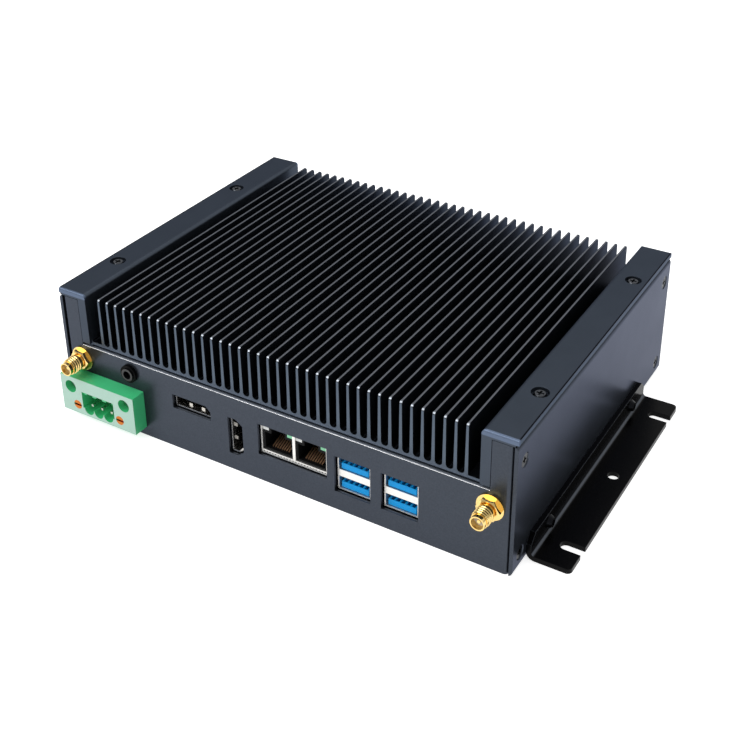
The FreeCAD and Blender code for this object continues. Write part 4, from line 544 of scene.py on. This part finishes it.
def solder_mask_board():
    """Glass-epoxy board under green solder mask: glossy, with paler copper areas showing through."""
    material, tree, place = new_finish("glass-epoxy board, green solder mask")
    cells = add_node(tree, "ShaderNodeTexVoronoi", {"Vector": place, "Scale": per_metre(3)},
                     distance="MANHATTAN")
    tint = add_node(tree, "ShaderNodeMix", {
        0: cells.outputs[0], 6: linear("#0c3a22"), 7: linear("#1d5a38")}, data_type="RGBA")
    rough = add_node(tree, "ShaderNodeMapRange", {"Value": cells.outputs[0], "To Min": 0.25, "To Max": 0.4})
    shader = add_node(tree, "ShaderNodeBsdfPrincipled", {
        "Base Color": tint.outputs[2], "Roughness": rough.outputs[0], "IOR": 1.55})
    add_node(tree, "ShaderNodeOutputMaterial", {"Surface": shader.outputs[0]})
    return material


# Pieces

def add_piece(name, mesh):
    """A piece of the object that rides on its one body."""
    piece = add_object(name, mesh)
    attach(piece, "root")
    return piece


def set_back(name, material, depth, fade):
    """A port piece with its front pushed into the case, which stands for its CAD node.

    A corner that lies s behind the ports' common front moves back by depth * (1 - s / fade), and one that
    is deeper than fade stays, so mouths, tongues and contacts keep their order.
    """
    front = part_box("data_port_shells")[0].y
    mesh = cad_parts[name].data.copy()
    corners = np.empty(3 * len(mesh.vertices), dtype=np.float32)
    mesh.vertices.foreach_get("co", corners)
    along = corners[1::3]
    corners[1::3] = along + depth * np.clip(1 - (along - front) / fade, 0, 1)
    mesh.vertices.foreach_set("co", corners)
    mesh.materials[0] = material
    mesh.update()
    piece = add_piece(f"{name}_seated", mesh)
    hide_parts(name)


def thread_ridge(x, z, front, rear, sizes):
    """A ridge wound round a barrel along Y: a trapezium profile carried along a helix.

    At turn angle a the profile's middle is at front + pitch * (lead_in + a / (2 pi)). Its two feet lie a
    little inside the barrel. Its crest stands at the ridge's height, times an ease that grows from 0 to 1
    over the first ease_angle radians and falls back over the last.
    """
    # Turns left free at the two ends
    lead_in, run_out = 0.45, 0.45
    ease_angle = 1.2
    # The profile's four corners: 1 on the crest and 0 at a foot, and their places along Y in pitches
    crest = np.array([0.0, 1.0, 1.0, 0.0])
    spread = np.array([-0.42, -0.1, 0.1, 0.42])
    turns = (rear - front) / sizes.pitch - lead_in - run_out
    angle = np.linspace(0, 2 * math.pi * turns, int(turns * sizes.turn_steps))[:, None]
    ease = np.clip(np.minimum(angle, angle[-1] - angle) / ease_angle, 0, 1)
    reach = sizes.radius - sizes.sunk + crest * (sizes.sunk + sizes.height * ease)
    along = front + sizes.pitch * (lead_in + angle / (2 * math.pi) + spread)
    points = np.stack([x + reach * np.cos(angle), along, z + reach * np.sin(angle)], axis=-1)
    corners, quads = surface(points, closed=True)
    first = np.arange(len(crest))
    last = first + len(corners) - len(crest)
    return corners, outward(corners, np.vstack([quads, first[::-1], last]))


# Stage

def studio_floor(settings):
    """Pale matt floor that is lifted to white in the picture and in reflections, and still takes shadows."""
    material, tree = new_material("pale studio floor")
    path = add_node(tree, "ShaderNodeLightPath").outputs
    seen = add_node(tree, "ShaderNodeMath", {0: path["Is Camera Ray"], 1: path["Is Glossy Ray"]},
                    operation="ADD")
    seen = add_node(tree, "ShaderNodeMath", {0: seen.outputs[0], 1: path["Is Transmission Ray"]},
                    operation="ADD", use_clamp=True)
    lift = add_node(tree, "ShaderNodeMath", {0: seen.outputs[0], 1: settings.floor_lift},
                    operation="MULTIPLY")
    matt = add_node(tree, "ShaderNodeBsdfDiffuse", {"Color": linear("#e6e6e6")})
    glow = add_node(tree, "ShaderNodeEmission", {"Strength": lift.outputs[0]})
    both = add_node(tree, "ShaderNodeAddShader", {0: matt.outputs[0], 1: glow.outputs[0]})
    add_node(tree, "ShaderNodeOutputMaterial", {"Surface": both.outputs[0]})
    edge = np.linspace(-settings.floor_half, settings.floor_half, 3)
    u, v = np.meshgrid(edge, edge, indexing="ij")
    points, quads = surface(np.stack([u, v, np.full_like(u, -settings.floor_drop)], axis=-1))
    floor = add_object("floor", new_mesh("floor", points, quads, material))


def studio_room(scene, settings):
    """White surroundings in the picture, and an even, weaker light from all round on the object."""
    world = bpy.data.worlds.new("studio")
    scene.world = world
    world.use_nodes = True
    tree = world.node_tree
    tree.nodes.clear()
    path = add_node(tree, "ShaderNodeLightPath")
    light = add_node(tree, "ShaderNodeMapRange", {
        "Value": path.outputs["Is Camera Ray"], "To Min": settings.room, "To Max": 1.0})
    back = add_node(tree, "ShaderNodeBackground", {"Color": linear("#ffffff"), "Strength": light.outputs[0]})
    add_node(tree, "ShaderNodeOutputWorld", {"Surface": back.outputs[0]})


def studio_lights(settings):
    """Three soft boxes that face the middle of the case."""
    middle = Vector((0, 0, 30 * MM))
    # Name, place and size in metres, and power
    for name, place, size, power in (
            ("key", (-0.55, -0.75, 0.85), (0.8, 0.8), settings.key_power),
            ("rear", (0.45, 0.98, 0.72), (1.2, 0.8), settings.rear_power),
            ("top", (-0.1, 0.2, 1.1), (0.9, 0.9), settings.top_power)):
        lamp = bpy.data.lights.new(name, "AREA")
        lamp.shape = "RECTANGLE"
        lamp.size, lamp.size_y = size
        lamp.energy = power
        aim = (middle - Vector(place)).to_track_quat("-Z", "Y")
        add_object(name, lamp).matrix_world = Matrix.LocRotScale(Vector(place), aim, None)


def studio_camera(scene, settings):
    """The camera, at the photograph's viewing angle."""
    lens = bpy.data.cameras.new("camera")
    lens.sensor_width = 36
    lens.lens = settings.lens
    lens.shift_y = settings.shift
    camera = add_object("camera", lens)
    turn = Euler(settings.camera_turn)
    camera.matrix_world = Matrix.LocRotScale(Vector(settings.camera_place), turn, None)
    scene.camera = camera


# Operators

class COMPUTER_OT_heatsink(bpy.types.Operator):
    """Finish the finned extrusion"""
    bl_idname = "computer.heatsink"
    bl_label = "Heatsink"

    def execute(self, context):
        scene = context.scene
        dress(anodised_extrusion(scene.computer_colours.anodised, scene.computer_lines), "heatsink")
        return {"FINISHED"}


class COMPUTER_OT_case(bpy.types.Operator):
    """Finish the folded sheets and the screws that hold them"""
    bl_idname = "computer.case"
    bl_label = "Case"

    def execute(self, context):
        scene = context.scene
        coating = coated_sheet(scene.computer_colours.coating, scene.computer_lines)
        dress(coating, "chassis", "front_panel", "rear_panel")
        dress(baked_bracket(), "right_mounting_bracket", "left_mounting_bracket")
        # Name, colour, least and most roughness, and the node that wears it
        for name, code, low, high, node in (
                ("black nickel on steel, cold headed", "#55585d", 0.2, 0.36, "heatsink_screws"),
                ("black zinc on steel, cold headed", "#33363b", 0.24, 0.4, "side_screws"),
                ("black oxide on steel, cold headed", "#1c1d20", 0.3, 0.45, "bracket_screws")):
            dress(plated_metal(name, linear(code), low, high, grain=0.8), node)
        return {"FINISHED"}


class COMPUTER_OT_ports(bpy.types.Operator):
    """Finish the data, network and video ports, set them back, and finish the round jack"""
    bl_idname = "computer.ports"
    bl_label = "Ports"

    def execute(self, context):
        colours = context.scene.computer_colours
        sizes = context.scene.computer_ports
        nickel = plated_metal("nickel-plated steel, drawn", colours.nickel, 0.34, 0.5, 1.5)
        stainless = plated_metal("stainless steel, stamped", linear("#c2c0bc"), 0.2, 0.32, 0.9)
        gold = plated_metal("gold plate on stamped contacts", colours.gold, 0.18, 0.3, 0.8)
        bronze = plated_metal("phosphor bronze springs, gold flash", linear("#c39a78"), 0.4, 0.55, 0.8)
        blue = moulded_plastic("polyester, moulded blue", colours.blue, 0.3, 0.42, 0.4, gloss=0.15)
        black = moulded_plastic("polyester, moulded black", colours.black, 0.5, 0.65, 0.4, gloss=0.12)
        green = moulded_plastic("polycarbonate light pipe, green", linear("#8fe6b4"), 0.12, 0.2, 0.8)
        clear = moulded_plastic("polycarbonate light pipe, clear", linear("#f4f6f4"), 0.12, 0.2, 0.8)
        for node, material, depth in (
                ("data_port_shells", nickel, sizes.data_depth),
                ("network_shield", nickel, sizes.other_depth),
                ("wide_video_shell", stainless, sizes.other_depth),
                ("upright_video_shell", stainless, sizes.other_depth),
                ("data_port_tongues", blue, sizes.data_depth),
                ("network_housings", black, sizes.other_depth),
                ("wide_video_tongue", black, sizes.other_depth),
                ("upright_video_tongue", black, sizes.other_depth),
                ("data_port_contacts", gold, sizes.data_depth),
                ("network_contacts", bronze, sizes.other_depth),
                ("network_green_lights", green, sizes.other_depth),
                ("network_clear_lights", clear, sizes.other_depth)):
            set_back(node, material, depth, sizes.fade)
        # Name, colour, least and most roughness, gloss, and the node that wears it
        for name, colour, low, high, gloss, node in (
                ("polyamide, moulded black", colours.black, 0.2, 0.3, 0.4, "round_jack"),
                ("polyamide ring nut, moulded black", linear("#060607"), 0.4, 0.55, 0.06, "round_jack_nut")):
            dress(moulded_plastic(name, colour, low, high, grain=0.4, gloss=gloss), node)
        return {"FINISHED"}


class COMPUTER_OT_antennas(bpy.types.Operator):
    """Finish the antenna connectors and cut their threads"""
    bl_idname = "computer.antennas"
    bl_label = "Antenna connectors"

    def execute(self, context):
        sizes = context.scene.computer_thread
        gold = plated_metal("gold plate on turned brass", context.scene.computer_colours.gold, 0.1, 0.2, 0.8)
        dress(gold, "antenna_connectors", "antenna_pins", "antenna_nuts", "antenna_washers")
        dress(moulded_plastic("fluoropolymer, turned white", linear("#efece4"), 0.35, 0.5, 0.5),
              "antenna_insulators")
        low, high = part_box("antenna_pins")
        reach = high.x - (high.z - low.z) / 2
        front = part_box("antenna_connectors")[0].y
        nut_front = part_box("antenna_nuts")[0].y
        fewest_turns = 3
        if nut_front - front < sizes.collar + sizes.relief + fewest_turns * sizes.pitch:
            raise RuntimeError("the antenna connectors are too short for their threads")
        for x, name in ((-reach, "left_antenna_thread"), (reach, "right_antenna_thread")):
            points, quads = thread_ridge(x, (low.z + high.z) / 2, front + sizes.collar,
                                         nut_front - sizes.relief, sizes)
            add_piece(name, new_mesh(name, points, quads, gold))
        return {"FINISHED"}


class COMPUTER_OT_terminal(bpy.types.Operator):
    """Finish the terminal header, its pins, inserts and screws"""
    bl_idname = "computer.terminal"
    bl_label = "Terminal header"

    def execute(self, context):
        green = context.scene.computer_colours.green
        dress(polyamide_header(green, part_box("terminal_header")[0].y), "terminal_header")
        # Name, colour, least and most roughness, grain in millimetres, and the node that wears it
        for name, code, low, high, grain, node in (
                ("tinned copper pins", "#d4d2cc", 0.2, 0.35, 0.8, "terminal_pins"),
                ("brass, turned inserts", "#bd6c2b", 0.15, 0.3, 0.6, "terminal_inserts"),
                ("zinc-plated steel screws", "#c9ccd0", 0.22, 0.36, 0.8, "terminal_screws")):
            dress(plated_metal(name, linear(code), low, high, grain), node)
        return {"FINISHED"}


class COMPUTER_OT_inside(bpy.types.Operator):
    """Finish the pieces inside the case"""
    bl_idname = "computer.inside"
    bl_label = "Inside"

    def execute(self, context):
        dress(solder_mask_board(), "mainboard", "memory_module", "storage_module", "radio_module")
        # Finish, name, colour, least and most roughness, grain in millimetres, and the nodes that wear it
        for finish, name, code, low, high, grain, nodes in (
                (plated_metal, "aluminium, milled", "#c4c5c8", 0.25, 0.4, 0.6, ["heat_spreader"]),
                (plated_metal, "brass standoffs, turned", "#c99a4a", 0.22, 0.36, 0.8,
                 ["board_standoffs", "storage_post", "radio_post"]),
                (plated_metal, "zinc-plated steel, cold headed", "#c2c5c8", 0.22, 0.4, 0.8,
                 ["bracket_nuts", "board_screws", "storage_screw", "radio_screw"]),
                (plated_metal, "cell steel, drawn", "#c8c9cb", 0.2, 0.35, 1.0, ["coin_cell"]),
                (moulded_plastic, "epoxy chip package, moulded", "#1a1b1d", 0.45, 0.6, 0.3, ["processor"]),
                (moulded_plastic, "silicone gap pad, cast", "#7d8894", 0.6, 0.8, 0.6, ["thermal_pad"]),
                (moulded_plastic, "polyester sockets, moulded black", "#121315", 0.35, 0.5, 0.4,
                 ["memory_socket", "storage_socket", "radio_socket", "coin_cell_holder"]),
                (moulded_plastic, "polyamide headers, moulded white", "#e9e6dc", 0.35, 0.5, 0.4,
                 ["power_header", "jack_header"]),
                (moulded_plastic, "vinyl lead jacket, extruded black", "#17181a", 0.4, 0.55, 0.6,
                 ["power_leads", "jack_lead", "left_antenna_lead", "right_antenna_lead"])):
            dress(finish(name, linear(code), low, high, grain), *nodes)
        return {"FINISHED"}


class COMPUTER_OT_stage(bpy.types.Operator):
    """Set up the floor, the lights and the camera"""
    bl_idname = "computer.stage"
    bl_label = "Stage"

    def execute(self, context):
        scene = context.scene
        settings = scene.computer_stage
        scene.view_settings.view_transform = "Standard"
        studio_floor(settings)
        studio_room(scene, settings)
        studio_lights(settings)
        studio_camera(scene, settings)
        return {"FINISHED"}


# Add-on

GROUPS = {"computer_colours": ComputerColours, "computer_lines": CaseLines, "computer_ports": PortSizes,
          "computer_thread": ThreadSizes, "computer_stage": StageSettings}
STEPS = (COMPUTER_OT_heatsink, COMPUTER_OT_case, COMPUTER_OT_ports, COMPUTER_OT_antennas,
         COMPUTER_OT_terminal, COMPUTER_OT_inside, COMPUTER_OT_stage)


class COMPUTER_PT_steps(bpy.types.Panel):
    """Lists the steps and their settings"""
    bl_idname = "COMPUTER_PT_steps"
    bl_label = "Embedded computer"
    bl_space_type = "VIEW_3D"
    bl_region_type = "UI"
    bl_category = "Computer"

    def draw(self, context):
        for step in STEPS:
            self.layout.operator(step.bl_idname)
        for group_name in GROUPS:
            group = getattr(context.scene, group_name)
            column = self.layout.column()
            for name in group.__annotations__:
                column.prop(group, name)


def register():
    for kind in (*GROUPS.values(), *STEPS, COMPUTER_PT_steps):
        bpy.utils.register_class(kind)
    for name, kind in GROUPS.items():
        setattr(bpy.types.Scene, name, bpy.props.PointerProperty(type=kind))


def unregister():
    for name in GROUPS:
        delattr(bpy.types.Scene, name)
    for kind in (COMPUTER_PT_steps, *reversed(STEPS), *GROUPS.values()):
        bpy.utils.unregister_class(kind)


def main():
    """Registers the add-on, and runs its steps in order."""
    register()
    for step in STEPS:
        area, name = step.bl_idname.split(".")
        getattr(getattr(bpy.ops, area), name)()


if __name__ == "__main__":
    main()
